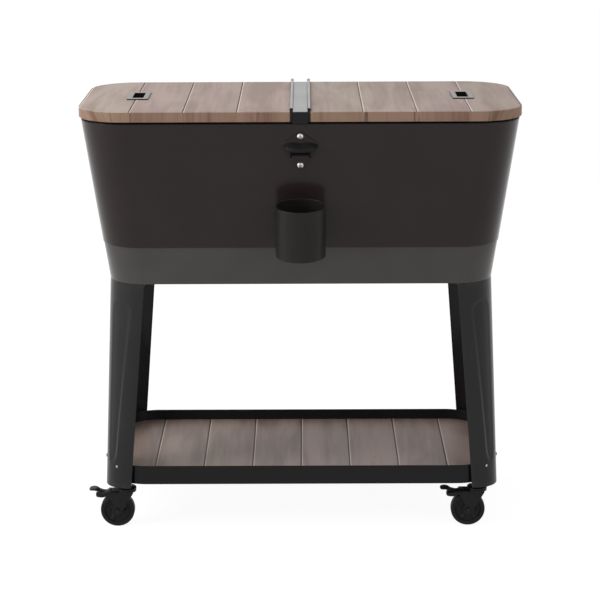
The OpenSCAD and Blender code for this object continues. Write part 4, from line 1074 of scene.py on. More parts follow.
    def liner(self) -> Patch:
        """The liner: one moulded sheet whose plug reaches into the mouth.

        Each row is an outline between the plug's and the lid's: first the plug's flat face with a
        raised border, then its rolled foot, its wall, a fillet, the flange, and the same again
        2 mm further in.
        """
        plug, flange, t = self.plug_z, self.foot_z, self.liner_t
        outer = rows((44, plug + 1.2), (38, plug + 1.2), (35, plug), (5, plug),
                     arc((4, plug + 4), 4, 270, 180, 5), (0, flange - 2.5),
                     arc((-2.5, flange - 2.5), 2.5, 0, 90, 4))
        inner = rows((-2.5, flange + t), arc((-1, flange + t - 1.5), 1.5, 90, 0, 3),
                     arc((6, plug + t + 4), 4, 180, 270, 4), (44, plug + t + 0.6))
        inset, z = rows(outer, (np.nan, flange), (np.nan, flange + t), inner).T
        x0, x1, hy, _, r1 = self.mouth
        k = inset + self.plug_gap
        rings = plan_rings(x0 + k, x1 - k, hy - k, np.maximum(4 - inset * 0.6, 0.5),
                           np.maximum(r1 - k, 1), 14)
        e = self.wall + self.clear
        edge = plan_rings(self.inner_x + e, self.half_w - e, self.half_d - e, 4.0,
                          self.corner_r - e, 14)[0]
        rings = np.where(np.isnan(inset)[:, None, None], edge[None], rings)
        return skinned(rings, z)

    @classmethod
    def round_mouth(cls, profile: Array, steps: int, close: bool) -> Patch:
        """A surface round the mouth, whose outline grows by each row's width at its height."""
        x0, x1, hy, r0, r1 = cls.mouth
        grow, z = profile.T
        rings = plan_rings(x0 - grow, x1 + grow, hy + grow, r0 + grow, r1 + grow, steps)
        return skinned(rings, z, close)

    def seal(self) -> Patch:
        """The seal: a soft bulb on a flat foot, carried round the mouth."""
        gap, low, high = 2.0, self.rim_z + 0.2, self.foot_z
        profile = rows((gap, high), (gap, high - 0.9), arc((gap + 1.3, low + 1.3), 1.3, 180, 270, 4),
                       (gap + 4.5, low + 0.25), arc((gap + 7.7, low + 1.3), 1.3, 270, 360, 4),
                       (gap + 9, high))
        return self.round_mouth(profile, 14, False)

    def build(self, shop: Workshop) -> None:
        """Makes the lid's pieces."""
        body = f"lid_{self.side.label}"
        for name, patch, slot, finish, node in (
                ("board_skin", self.panel(), "lid_boards", "lid_board_print", "panel"),
                ("pull_plate_rolled", self.pull_plate(), "brushed_strip", "pull_plate_steel",
                 "pull_plate"),
                ("finger_cup", self.pull_cup(), "black_plastic", "black_plastic", "pull_cup"),
                ("moulded_liner", self.liner(), "white_liner", "white_liner", "liner"),
                ("bulb_seal", self.seal(), "seal_rubber", "seal_rubber", "seal")):
            obj = shop.piece(f"{body}_{name}", patch.mirrored(self.side.sx), body, slot, finish,
                             f"{body}_{node}")
            if node == "panel":
                mark_board_face(obj, self.top_z, self.edge_r)


def mark_board_face(obj: bpy.types.Object, top_z: float, depth: float) -> None:
    """Marks the points of the upper face, which alone shows the joints between boards and the painted
    sheen.
    """
    mesh = obj.data
    co = np.empty(len(mesh.vertices) * 3)
    mesh.vertices.foreach_get("co", co)
    up = (co.reshape(-1, 3)[:, 2] > (top_z - depth) * MM + SAME).astype(float)
    layer = mesh.attributes.new("board_face", "FLOAT", "POINT")
    layer.data.foreach_set("value", up)


# Centre


@dataclass
class Centre:
    """What lies between the lids: steel strip, end plugs, hinges and their end caps."""

    half_w: float = 16.0
    wall: float = 2.0
    rim_z: float = 906.0
    lid_z: float = 909.0
    top_z: float = 932.0
    half_d: float = 220.0
    strip_t: float = 1.2
    strip_inset: float = 0.8
    cap_t: float = 3.0
    tongue: float = 8.0
    hinge_x: float = 18.5
    hinge_z: float = 935.6
    lid_in: float = 21.0
    barrel_r: float = 3.0
    bore_r: float = 1.6
    head_r: float = 3.5
    leaf_t: float = 1.2
    leaf_z: float = 914.0
    leaf_l: float = 433.4
    knuckles: int = 15
    gap: float = 0.9

    def strip(self) -> Patch:
        """The brushed strip, with its long edges eased."""
        return slab(self.half_w - self.strip_inset, self.half_d, 0.4, self.top_z - self.strip_t,
                    self.top_z, 0.35, 0.2, 3)

    def plug(self) -> Patch:
        """The plug in the bar's front end: a rolled face and a tongue inside the bar."""
        high = self.top_z - self.strip_t - self.rim_z
        face = plan_rings(-self.half_w, self.half_w, high / 2, 1.2, 1.2, 5)[0] + [0.0, high / 2]
        face = plate_of(face, 0, self.cap_t, 0.5).turned(UPRIGHT).moved(
            y=self.cap_t - self.half_d, z=self.rim_z)
        k, y = self.wall + 0.3, self.cap_t - self.half_d
        tongue = bar((k - self.half_w, self.half_w - k), (y, y + self.tongue),
                     (self.rim_z + k, self.rim_z + high - k), 0.5)
        return join(face, tongue)

    def end_cap(self) -> Patch:
        """The cap over a hinge's front end: a narrow plate with a round head."""
        x0, x1, r = self.half_w + 0.2, self.lid_in - 0.4, 0.5
        right = math.degrees(math.acos((x1 - self.hinge_x) / self.head_r))
        left = math.degrees(math.acos((self.hinge_x - x0) / self.head_r))
        outline = rows(arc((x0 + r, self.lid_z + r), r, 180, 270, 3),
                       arc((x1 - r, self.lid_z + r), r, 270, 360, 3),
                       arc((self.hinge_x, self.hinge_z), self.head_r, -right, 180 + left, 36))
        return plate_of(outline, 0, self.cap_t, 0.4, 0.5).turned(UPRIGHT).moved(
            y=self.cap_t - self.half_d)

    def leaf(self, x: float, first: int) -> Patch:
        """One leaf of the right hinge, with every second knuckle from the first one given.

        A knuckle is a ring with eased ends, turned round the pin's line.
        """
        pitch = self.leaf_l / self.knuckles
        long = pitch - self.gap
        e = 0.35
        ring = turned_round(rows((self.bore_r, 0), arc((self.barrel_r - e, e), e, 270, 360, 3),
            arc((self.barrel_r - e, long - e), e, 0, 90, 3), (self.bore_r, long)), 32, wrap=True)
        ring = ring.turned(AXIS_Y, (self.hinge_x, 0.0, self.hinge_z))
        start = -self.leaf_l / 2
        parts = [bar((x, x + self.leaf_t), (start, -start), (self.leaf_z, self.top_z), 0.25)]
        for k in range(first, self.knuckles, 2):
            y = start + k * pitch + self.gap / 2
            parts += [ring.moved(y=y), bar((x, x + self.leaf_t), (y, y + long),
                                           (self.top_z - 0.6, self.hinge_z), 0.25)]
        return join(*parts)

    def build(self, shop: Workshop) -> None:
        """Makes the strip, the plugs, the hinges and the caps on their ends."""
        plug, cap, fixed = self.plug(), self.end_cap(), self.leaf(self.half_w, 0)
        caps = [cap.mirrored(sx, sy) for sx in (-1, 1) for sy in (-1, 1)]
        moving = self.leaf(self.lid_in - self.leaf_t, 1)
        for name, patch, *looks in (
                ("centre_strip", self.strip(), "brushed_strip", "brushed_strip", "bridge_strip"),
                ("centre_plugs", join(plug, plug.mirrored(1, -1)), "black_plastic", "black_plastic",
                 "bridge_end_plugs"),
                ("hinge_round_caps", join(*caps), "black_plastic", "black_plastic", "hinge_end_caps"),
                ("hinge_fixed_leaves", join(fixed, fixed.mirrored(-1)), "hinge_metal", "hinge_steel",
                 "bridge_hinge_leaves")):
            shop.piece(name, patch, "cart", *looks)
        for side in Side:
            lid = f"lid_{side.label}"
            shop.piece(f"hinge_lid_leaf_{side.label}", moving.mirrored(side.sx), lid, "hinge_metal",
                       "hinge_steel", f"{lid}_hinge_leaf")


# Trough


@dataclass
class Trough:
    """The tapered trough: upper shell and lower band."""

    foot_z: float = 554.0
    seam_z: float = 636.0
    rim_z: float = 906.0
    lip_z: float = 904.6
    half_x: float = 466.0
    half_y: float = 216.0
    corner_r: float = 96.0
    taper_x: float = 50.0
    taper_y: float = 33.0
    taper_r: float = 12.0
    sheet: float = 1.2
    lap: float = 8.0
    band_in: float = 1.5
    cavity_in: float = 35.1
    basin_t: float = 2.5
    flange_w: float = 22.0
    floor_z: float = 590.0
    rim_in: float = 1.4
    rim_t: float = 3.0
    skirt_h: float = 10.0
    drain_x: float = 300.0
    drain_z: float = 608.0
    drain_hole_r: float = 9.3

    def fall(self, z: Array) -> Array:
        """How far down the trough a height is, from 0 at the rim to 1 at the underside."""
        return (self.rim_z - z) / (self.rim_z - self.foot_z)

    def wall(self, profile: Array, close: bool = False) -> Patch:
        """A surface that follows the trough's taper.

        Each profile row is a ring: a rounded rectangle of the trough's own size at that height,
        less the row's inset.

        Args:
            profile: Rows of inset and height.
            close: Caps both ends instead of joining them.

        Returns:
            The patch.
        """
        inset, z = profile.T
        f = self.fall(z)
        return stacked(self.half_x - self.taper_x * f - inset, self.half_y - self.taper_y * f - inset,
                       self.corner_r - self.taper_r * f - inset, z, 28, close)

    def shell(self) -> Patch:
        """The upper shell, a sheet with a rolled foot and a rolled rim."""
        r = self.sheet / 2
        return self.wall(rows(arc((r, self.seam_z + r), r, 270, 180, 3), (0, self.seam_z + 3),
            (0, (self.seam_z + self.rim_z) / 2), (0, self.lip_z - 2),
            arc((r, self.lip_z - r), r, 180, 0, 6), (self.sheet, self.seam_z + r),
            arc((r, self.seam_z + r), r, 360, 300, 2)))

    def band(self) -> Patch:
        """The lower band, which slides up behind the shell and turns in at its foot."""
        a, t = self.band_in, self.sheet
        r = t / 2
        top = self.seam_z + self.lap
        return self.wall(rows(arc((a + r, self.foot_z + r), r, 270, 180, 3), (a, self.foot_z + 3),
            (a, (self.foot_z + top) / 2), arc((a + r, top - r), r, 180, 0, 4),
            (a + t, self.foot_z + r), arc((a + r, self.foot_z + r), r, 360, 300, 2)))

    def basin(self) -> Patch:
        """The white basin: inner wall with a rolled lip and a rounded floor, and its outside."""
        a, t, f, r = self.cavity_in, self.basin_t, self.flange_w, 6.0
        top, floor = self.rim_z - self.rim_t, self.floor_z
        return self.wall(rows((a + 60, floor), arc((a + r, floor + r), r, 270, 180, 6), (a, floor + 60),
            (a, (floor + top) / 2), (a, top - 12), arc((a - 1.5, top - 1.5), 1.5, 0, 90, 4),
            (a - t - f, top), (a - t - f, top - t), (a - t, top - t), arc((a, floor), t, 180, 270, 3),
            (a + 60, floor - t)), close=True)

    def frame(self) -> Patch:
        """The rim frame before its mouths are cut: a rolled top with a skirt round it."""
        a, t, top = self.rim_in, self.rim_t, self.rim_z
        low = top - t - self.skirt_h
        return self.wall(rows(
            (a + t + 40, top - t), (a + t, top - t), (a + t, low), (a + 0.5, low), (a, low + 0.5),
            (a, top - 1.5), arc((a + 1.2, top - 1.2), 1.2, 180, 90, 4), (a + 4, top),
            (a + 40, top)), close=True)

    def mouth(self, side: Side) -> Patch:
        """What one mouth takes out of the rim frame, flared at the top so that the edge is round."""
        flare = arc((1.2, self.rim_z - 1.2), 1.2, 180, 90, 5)
        profile = rows((0, self.rim_z - self.rim_t - 1), flare, (1.2, self.rim_z + 1))
        return Lid.round_mouth(profile, 16, True).mirrored(side.sx)

    def on(self, patch: Patch, x: float, z: float, front: bool = True) -> Patch:
        """A patch set on the front or the back wall at x and z, with its own z out of the wall."""
        y = self.half_y - self.taper_y * (self.rim_z - z) / (self.rim_z - self.foot_z)
        turn = turn_x(90 + math.degrees(math.atan(self.taper_y / (self.rim_z - self.foot_z))))
        if not front:
            turn = turn_z(180) @ turn
        return patch.turned(turn, (x, -y if front else y, z))

    def build(self, shop: Workshop) -> None:
        """Makes the shell, the band, the basin and the rim frame."""
        _, band, basin, rim = (
            shop.piece(name, patch, "cart", *looks) for name, patch, *looks in (
                ("upper_shell", self.shell(), "shell_paint", "dark_brown_paint", "outer_shell"),
                ("band_sheet", self.band(), "band_paint", "grey_band_paint", "lower_band"),
                ("moulded_basin", self.basin(), "white_liner", "white_liner", "basin"),
                ("rolled_rim_frame", self.frame(), "black_plastic", "black_plastic", "rim_frame")))
        r, reach = self.drain_hole_r, 60.0
        hole = turned_round(rows((0, -reach), (r, -reach), (r, reach), (0, reach)), 48)
        hole = self.on(hole, self.drain_x, self.drain_z, front=False)
        shop.pierce(band, hole)
        shop.pierce(basin, hole)
        shop.pierce(rim, *(self.mouth(side) for side in Side))


# Stand


@dataclass
class Leg:
    """A pressed sheet leg with a recessed panel in its rounded corner."""

    corner: Corner
    top_z: float = 554.0
    foot_z: float = 100.0
    x_top: float = 414.5
    y_top: float = 181.5
    r_top: float = 82.5
    splay_x: float = 16.0
    splay_y: float = 24.0
    r_foot: float = 50.0
    front_top: float = 78.0
    front_foot: float = 57.0
    side_top: float = 105.0
    side_foot: float = 98.0
    sheet: float = 2.0
    press_low: float = 30.5
    press_half: tuple[float, float] = (11.0, 19.0)
    press_wall: float = 4.5
    press_depth: float = 2.0
    press_foot: float = 158.0
    press_top: float = 512.0
    press_end: float = 24.0
    screw_z: float = 147.0
    screw_turn: float = 58.0
    bolt_z: float = 156.0
    bolt_in: float = 6.0

    def corner_at(self, z: Any) -> tuple[Any, Any, Any, Any]:
        """How far down the leg a height is, from 0 to 1, and the corner's x, y and radius there."""
        f = (self.top_z - z) / (self.top_z - self.foot_z)
        return (f, self.x_top + self.splay_x * f, self.y_top + self.splay_y * f,
                self.r_top + (self.r_foot - self.r_top) * f)

    def sections(self, z: Array, inset: float) -> Array:
        """The leg's open outline at many heights.

        At a height, the outline runs up the side face, round the corner by an arc, and along the
        front face. The arc's radius is less by the pressed panel's depth times a soft mask: the
        mask is 1 within a long window with round ends that narrows downwards, and falls to 0 over
        the press's wall. The depth grows from half to one and a half times across the window.

        Args:
            z: Heights, of shape (rows, 1).
            inset: How far inside the outer face.

        Returns:
            Points of shape (rows, columns, 3).
        """
        f, x, y, r = self.corner_at(z)
        front = self.front_top + (self.front_foot - self.front_top) * f
        side = self.side_top + (self.side_foot - self.side_top) * f
        end = np.degrees(np.arccos(np.clip((r - front) / r, 0, 1)))
        foot_half, top_half = self.press_half
        rise = np.clip((z - self.press_foot) / (self.press_top - self.press_foot), 0, 1)
        half = foot_half + (top_half - foot_half) * rise
        low, high = self.press_low + 0.0 * z, self.press_low + 2.0 * half
        w = self.press_wall
        even = np.linspace(0, 1, 11)
        a = np.hstack([(low - w) * np.linspace(0, 1, 9), low - w + w * np.linspace(0.12, 1.88, 12),
                       (low + w + (high - low - 2.0 * w) * even)[:, 1:-1],
                       high + w * np.linspace(-0.88, 0.88, 12),
                       high + w + (end - high - w) * np.linspace(0, 1, 7)])
        ends = np.maximum(self.press_foot + self.press_end - z, z - self.press_top + self.press_end)
        along = np.clip(ends, 0, None) / self.press_end
        across = np.abs(a - (low + high) / 2.0) / half
        mask = smooth((1 + w / half - np.hypot(across, along)) * half / w / 2)
        over = np.clip((a - low) / (high - low), 0, 1)
        q = r - inset - self.press_depth * mask * (0.5 + over)
        arc_x, arc_y = x - r + q * np.cos(np.radians(a)), y - r + q * np.sin(np.radians(a))
        side_y = (y - side) + (side - r) * np.linspace(0, 1, 6)[:-1]
        front_x = (x - r) + (r - front) * np.linspace(0, 1, 5)[1:]
        front_x = np.where(front > r, front_x, arc_x[:, -1:] - 0.02 * np.arange(1, 5))
        front_y = np.where(front > r, y - inset + 0.0 * front_x, arc_y[:, -1:])
        return spread(np.hstack([x - inset + 0.0 * side_y, arc_x, front_x]),
                      np.hstack([side_y, arc_y, front_y]), z)

    def surface(self) -> Patch:
        """The leg as a closed sheet: outer face, rounded edges and inner face, with both ends shut."""
        z = np.unique(np.hstack([np.linspace(self.foot_z, self.top_z, 24),
            self.press_foot + np.linspace(-4, self.press_end + 4, 16),
            self.press_top - np.linspace(-4, self.press_end + 4, 16)]))[:, None]
        outer, inner = self.sections(z, 0.0), self.sections(z, self.sheet)[:, ::-1]
        half = self.sheet / 2
        side_bulge = (outer[:, :1] + inner[:, -1:]) / 2 - np.array([0.0, half, 0.0])
        front_bulge = (outer[:, -1:] + inner[:, :1]) / 2 - np.array([half, 0.0, 0.0])
        loop = np.hstack([outer, front_bulge, inner, side_bulge])
        caps = [grid(np.stack([outer[k], inner[k, ::-1]])) for k in (0, -1)]
        ends = [Patch(np.stack([outer[k, -1], front_bulge[k, 0], inner[k, 0],
                                inner[k, -1], side_bulge[k, 0], outer[k, 0]]),
                      [np.array([[0, 1, 2], [3, 4, 5]])]) for k in (0, -1)]
        return join(grid(loop, wrap_v=True), *caps, *ends)

    def side_rivet(self) -> Patch:
        """A domed rivet on the side face, just behind the rounded corner."""
        _, x, y, r = self.corner_at(self.bolt_z)
        dome = turned_round(rows((0, -0.4), (5, -0.4), arc((0, -2.667), 5.667, 28, 84, 8), (0, 3)), 32)
        return dome.turned(ALONG_X).moved(x=x, y=y - (r + self.bolt_in), z=self.bolt_z)

    def corner_screw(self) -> Patch:
        """A small domed screw in the leg's rounded corner, just below the pressed panel."""
        _, x, y, r = self.corner_at(self.screw_z)
        c, s = math.cos(math.radians(self.screw_turn)), math.sin(math.radians(self.screw_turn))
        turn = np.array([[-s, 0, c], [c, 0, s], [0, 1, 0]])
        head = screw_head(2.6, 1.1, 0.4, 1.4).moved(z=-0.05)
        return head.turned(turn, (x - r + c * r, y - r + s * r, self.screw_z))

    def build(self, shop: Workshop) -> None:
        """Makes the leg, its screw and its rivet."""
        leg = f"leg_{self.corner.label}"
        for name, patch, slot, finish, nodes, crease in (
                ("pressed", self.surface(), "frame_paint", "black_leg_paint", (leg,), 50.0),
                ("corner_screw", self.corner_screw(), "zinc", "zinc_plate", (), CREASE),
                ("side_rivet", self.side_rivet(), "frame_paint", "black_tray_paint", (), CREASE)):
            shop.piece(f"{leg}_{name}", patch.mirrored(self.corner.sx, self.corner.sy), "cart", slot,
                       finish, *nodes, crease=crease)


@dataclass
class Shelf:
    """The tray and its boards."""

    half_x: float = 426.4
    half_y: float = 200.5
    corner_r: float = 88.0
    foot_z: float = 108.0
    floor_z: float = 110.5
    top_z: float = 150.0
    sheet: float = 2.0
    board_top: float = 126.5
    board_pitch: float = 108.0
    board_joint: float = 0.6
    board_roll: float = 1.0
    fit: float = 0.3

    def tray(self) -> Patch:
        """The tray: a hem under the wall, the wall, its rolled rim, and a floor shut on both sides."""
        t, r = self.sheet, self.sheet / 2
        profile = rows((60, self.floor_z), (t, self.floor_z), (t, self.foot_z + 0.7),
            arc((t - 0.7, self.foot_z + 0.7), 0.7, 360, 270, 2),
            arc((0.7, self.foot_z + 0.7), 0.7, 270, 180, 2), (0, self.foot_z + 6),
            (0, self.top_z - 4), arc((r, self.top_z - r), r, 180, 0, 8),
            (t, self.floor_z + t + 1.5), arc((t + 1.5, self.floor_z + t + 1.5), 1.5, 180, 270, 3),
            (60, self.floor_z + t))
        inset = profile[:, 0]
        return stacked(self.half_x - inset, self.half_y - inset, self.corner_r - inset,
                       profile[:, 1], 24)

    def board(self, index: int) -> Patch:
        """One board, from its left joint to its right one.

        Across the board the surface is a profile: up the joint face, over a rolled edge, across
        the top, and down again. Along it, each column of the profile is as long as the tray's
        rounded outline leaves room for at its x, less the roll at its ends.

        Args:
            index: The board's number, counted from the middle to the right.

        Returns:
            The patch.
        """
        inset = self.sheet + self.fit
        hx, hy, r = self.half_x - inset, self.half_y - inset, self.corner_r - inset
        x0 = index * self.board_pitch + self.board_joint / 2
        x1 = min((index + 1) * self.board_pitch - self.board_joint / 2, hx)
        e, z0, z1 = self.board_roll, self.floor_z + self.sheet, self.board_top
        bend = hx - r
        middle = np.linspace(x0 + e, x1 - e, 9)[1:-1]
        if x1 >= hx:
            middle = np.unique(np.hstack([np.linspace(x0 + e, bend, 5)[1:],
                                          bend + (x1 - e - bend) * np.sin(angles(2, 88, 20))]))
        x, z = rows((x0, z0), arc((x0 + e, z1 - e), e, 180, 90, 4), spread(middle, z1),
                    arc((x1 - e, z1 - e), e, 90, 0, 4), (x1, z0)).T
        into = np.clip((x - bend) / r, 0, 0.9999)
        reach = hy - r + r * np.sqrt(1.0 - into ** 2)
        turn = angles(0, 90, 5)
        roll = spread(0.0, e * np.sin(turn), -e * (1.0 - np.cos(turn)))
        face = spread(x[:, None], (reach - e)[:, None] * np.linspace(-1, 1, 13), z[:, None])
        rolls = []
        for sy in (-1.0, 1.0):
            base = face[:, 0 if sy < 0 else -1]
            out = base[:, None] + (roll * np.array([1.0, sy, 1.0]))[None]
            out[..., 2] = np.maximum(out[..., 2], z0)
            drop = out[:, -1:].copy()
            drop[..., 2] = z0
            rolls.append(np.hstack([out[:, 1:], drop]))
        points = np.hstack([rolls[0][:, ::-1], face, rolls[1]])
        uv = points[..., :2].copy()
        uv[..., 1] += np.sign(points[..., 1]) * (z1 - points[..., 2])
        foot = points[:, [0, -1]]
        foot[..., 2] = z0
        return join(grid(points, uv=uv), grid(foot))

    def build(self, shop: Workshop) -> None:
        """Makes the tray and the boards."""
        shop.piece("shelf_tray_rolled", self.tray(), "cart", "frame_paint", "black_tray_paint",
                   "shelf_tray")
        half = [self.board(k) for k in range(4)]
        boards = shop.piece("shelf_board_row", join(*half, *[b.mirrored(-1) for b in half]), "cart",
                            "shelf_boards", "shelf_board_print", "shelf_boards")
        mark_board_face(boards, self.board_top, 1.5)


# Front fittings


@dataclass
class BottleOpener:
    """The cast opener: a plate, a visor over the mouth, two cheeks, a tooth, and its screws."""

    middle_z: float = 848.0
    plate_t: float = 3.0
    screw_y: float = 31.0
    head_r: float = 6.5
    head_h: float = 3.2
    half_w: float = 36.5
    reach: float = 24.0
    wall: float = 4.0
    brow_y: float = 23.5
    shoulder_y: float = 17.0
    lip_y: float = 2.5
    lip_rise: float = 3.5
    dip: float = 3.5
    cheek_x: float = 21.5

    def plate(self) -> Patch:
        """The plate on the wall, a hull round its ears, shoulders and waist."""
        y = self.screw_y
        outline = hull_of([(0, y, 9), (0, -y, 9), (24.5, 11, 12), (-24.5, 11, 12),
                           (18, -12, 8), (-18, -12, 8)])
        return plate_of(outline, 0, self.plate_t, 0.9)

    def shell(self, s: Any, half: Array, height: Array, a: Array, lip: Any = 0.0) -> Array:
        """Points of one skin of the visor.

        Args:
            s: How far up the visor each row is, 0 at the lip and 1 at the brow, of shape (rows, 1).
            half: The half width of each row.
            height: How far each row stands out.
            a: Angles across, from 0 at the right foot to pi at the left one.
            lip: A drop of each row below the lip's edge.

        Returns:
            Points of shape (rows, columns, 3): the section is half times the cosine across and
            height times a power of the sine outwards. The brow falls towards the shoulders and
            dips under the upper screw.
        """
        c, n = ways(a).T
        x = half * c
        far = np.abs(x) / self.half_w
        brow = (self.brow_y - (self.brow_y - self.shoulder_y) * far ** 4
                - self.dip * np.exp(-(x / 9.0) ** 2))
        low = self.lip_y + self.lip_rise * c ** 2
        return spread(x, low + s * (brow - low) - lip, height * n ** 0.62)

    def visor(self) -> Patch:
        """The visor: an outer and an inner skin, joined by a rolled lip and by its feet."""
        a = np.linspace(0, np.pi, 73)
        s = np.hstack([[0.0, 0.02], np.linspace(0.06, 1, 22)])[:, None]
        out_w = self.half_w * (0.93 + 0.07 * smooth(s / 0.4))
        out_h = self.reach * (1.0 - smooth((s - 0.12) / 0.9) ** 0.9)
        deep = np.clip(1 - s / 0.62, 0, 1)
        in_w = (out_w - self.wall) * (1.0 - 0.25 * (1.0 - deep))
        in_h = np.maximum(out_h - self.wall, 0) * smooth(deep * 1.4)
        outer = self.shell(s, out_w, out_h, a)
        inner = self.shell(np.minimum(s, 0.62), in_w, in_h, a)
        turn = angles(90, 18, 4)[:, None]
        half = self.wall / 2
        tuck, drop = half * (1.0 - np.cos(turn)), half * np.sin(turn) * 0.8
        lip_out = self.shell(0.0, out_w[0] - tuck, out_h[0] - tuck, a, drop)
        lip_in = self.shell(0.0, in_w[0] + tuck, in_h[0] + tuck, a, drop)
        outer, inner = np.vstack([lip_out, outer]), np.vstack([lip_in, inner])
        return grid(np.hstack([outer, inner[:, ::-1]]), wrap_v=True)

    def cheek(self) -> Patch:
        """The right cheek beside the mouth, a rounded wedge that stands on the plate."""
        outline = hull_of([(-13, 2, 2), (8, 2, 2), (8, 15, 2), (-4, 8, 2)])
        return plate_of(outline, self.cheek_x - 3.5, self.cheek_x, 0.8).turned(ALONG_X)

    def tooth(self) -> Patch:
        """The tooth that catches a cap's edge, a wedge across the mouth."""
        outline = hull_of([(-8.6, 3.2, 1.4), (-6.6, 6.5, 1), (-5.6, 3, 0.8)])
        return plate_of(outline, -self.cheek_x + 3, self.cheek_x - 3, 0.3, 0.3).turned(ALONG_X)

    def screws(self) -> Patch:
        """Both screws: a domed head with a cross recess, and a shank into the wall."""
        head = screw_head(self.head_r, self.head_h).moved(z=self.plate_t)
        shank = turned_round(rows((0, -6.8), (2, -6.8), (2.4, -6.2), (2.4, 3.2), (0, 3.2)), 24)
        one = join(head.turned(turn_z(28)), shank)
        return join(one.moved(y=self.screw_y), one.turned(turn_z(-19)).moved(y=-self.screw_y))

    def build(self, shop: Workshop, trough: Trough) -> None:
        """Makes the opener and its screws."""
        # The casting's darker paint is painted shade; the plate keeps the lighter tone of the same
        # casting.
        cast = join(self.visor(), self.cheek(), self.cheek().mirrored(-1), self.tooth())
        for name, patch, slot, finish, nodes, crease in (
                ("opener_casting", cast, "cast_iron", "cast_opener_shade_paint", ("bottle_opener",), 50.0),
                ("opener_plate", self.plate(), "cast_iron", "opener_plate_paint", (), CREASE),
                ("opener_cross_screws", self.screws(), "bright_screws", "bright_screw",
                 ("opener_screws",), CREASE)):
            shop.piece(name, trough.on(patch, 0.0, self.middle_z), "cart", slot, finish, *nodes,
                       crease=crease)


@dataclass
class Drain:
    """The drain at the back: its nut and its screw cap."""

    x: float = 300.0
    z: float = 608.0
    spout_r: float = 9.05
    nut_r: float = 16.0
    nut_z: tuple[float, float] = (0.01, 6.0)
    cap_r: float = 13.0
    cap_z: tuple[float, float] = (8.5, 27.1)
    cap_end: float = 2.8
    ribs: int = 16
    rib_h: float = 0.8

    def cap(self) -> Patch:
        """The cap: a cup turned round its axis, whose wall swells out into soft ribs.

        Between foot and top edge, the radius grows by the rib's height times a soft step of the
        cosine of 16 times the angle.
        """
        low, top = self.cap_z
        r, b, under = self.cap_r, self.spout_r, top - self.cap_end
        heights = np.linspace(low + 1.2, top - 2.2, 7)
        profile = rows((0, under), (b, under), (b, low), (r - 0.5, low), (r, low + 0.5),
                       spread(r, heights), arc((r - 1.4, top - 1.4), 1.4, 0, 90, 5), (r - 2.6, top),
                       (r - 3.4, top - 0.7), (0, top - 0.7))
        patch = turned_round(profile, 192)
        x, y, z = patch.points.T
        rad, a = np.hypot(x, y), np.arctan2(y, x)
        band = smooth((z - low - 0.6) / 0.8) * smooth((top - 1.3 - z) / 0.8) * (rad > r - 0.1)
        grow = 1.0 + self.rib_h * band * smooth(0.5 + 1.2 * np.cos(self.ribs * a)) / np.maximum(rad, r)
        patch.points[:, :2] *= grow[:, None]
        return patch

    def build(self, shop: Workshop, trough: Trough) -> None:
        """Makes the nut and the cap."""
        nut = hexagon(self.nut_r, self.spout_r, *self.nut_z)
        for name, patch, body, node in (("drain_hex_nut", nut, "cart", "drain_nut"),
                                        ("drain_ribbed_cap", self.cap(), "drain_cap", "drain_cap")):
            shop.piece(name, trough.on(patch, self.x, self.z, front=False), body, "black_plastic",
                       "black_plastic", node)


@dataclass
class CapCatcher:
    """The cup that catches caps, with the saddle that hangs it on its screws."""

    middle_z: float = 692.0
    radius: float = 52.5
    height: float = 110.0
    sheet: float = 1.5
    saddle_z: float = 1.0
    saddle_w: float = 50.0
    saddle_h: float = 40.0
    screw_y: float = 33.0
    axis: float = 59.4

    def cup(self) -> Patch:
        """The cup: a profile carried round its axis, with a rolled lip and a rounded foot."""
        r, h, t, lip = self.radius, self.height / 2, self.sheet, 1.0
        profile = rows((0, -h), arc((r - 3, -h + 3), 3, 270, 360, 6), (r, 0),
                       (r, h - 4), arc((r - lip, h - lip), lip, 0, 180, 8), (r - t, h - 4), (r - t, 0),
                       arc((r - t - 2, -h + t + 2), 2, 0, -90, 5), (0, -h + t))
        return turned_round(profile, 96).turned(AXIS_Y, (0.0, 0.0, self.axis))

    def saddle(self) -> Patch:
        """The plate behind the cup and its two webs."""
        half, tall, t = self.saddle_w / 2, self.saddle_h / 2, self.sheet / 2
        plate = slab(half, tall, 1, self.saddle_z, self.saddle_z + self.sheet, 0.4, 0.4, 3)
        reach = self.axis - math.sqrt(self.radius ** 2 - half ** 2) + t
        web = slab(t, tall, 0.3, self.saddle_z, reach, 0.2, 0.2, 3).moved(x=half - t)
        return join(plate, web, web.mirrored(-1)).moved(y=self.screw_y - self.saddle_h * 0.7 + tall)

    def build(self, shop: Workshop, trough: Trough) -> None:
        """Makes the cup with its saddle."""
        shop.piece("cap_cup", trough.on(join(self.cup(), self.saddle()), 0.0, self.middle_z),
                   "cap_catcher", "frame_paint", "cup_paint", "cap_catcher")


# Casters


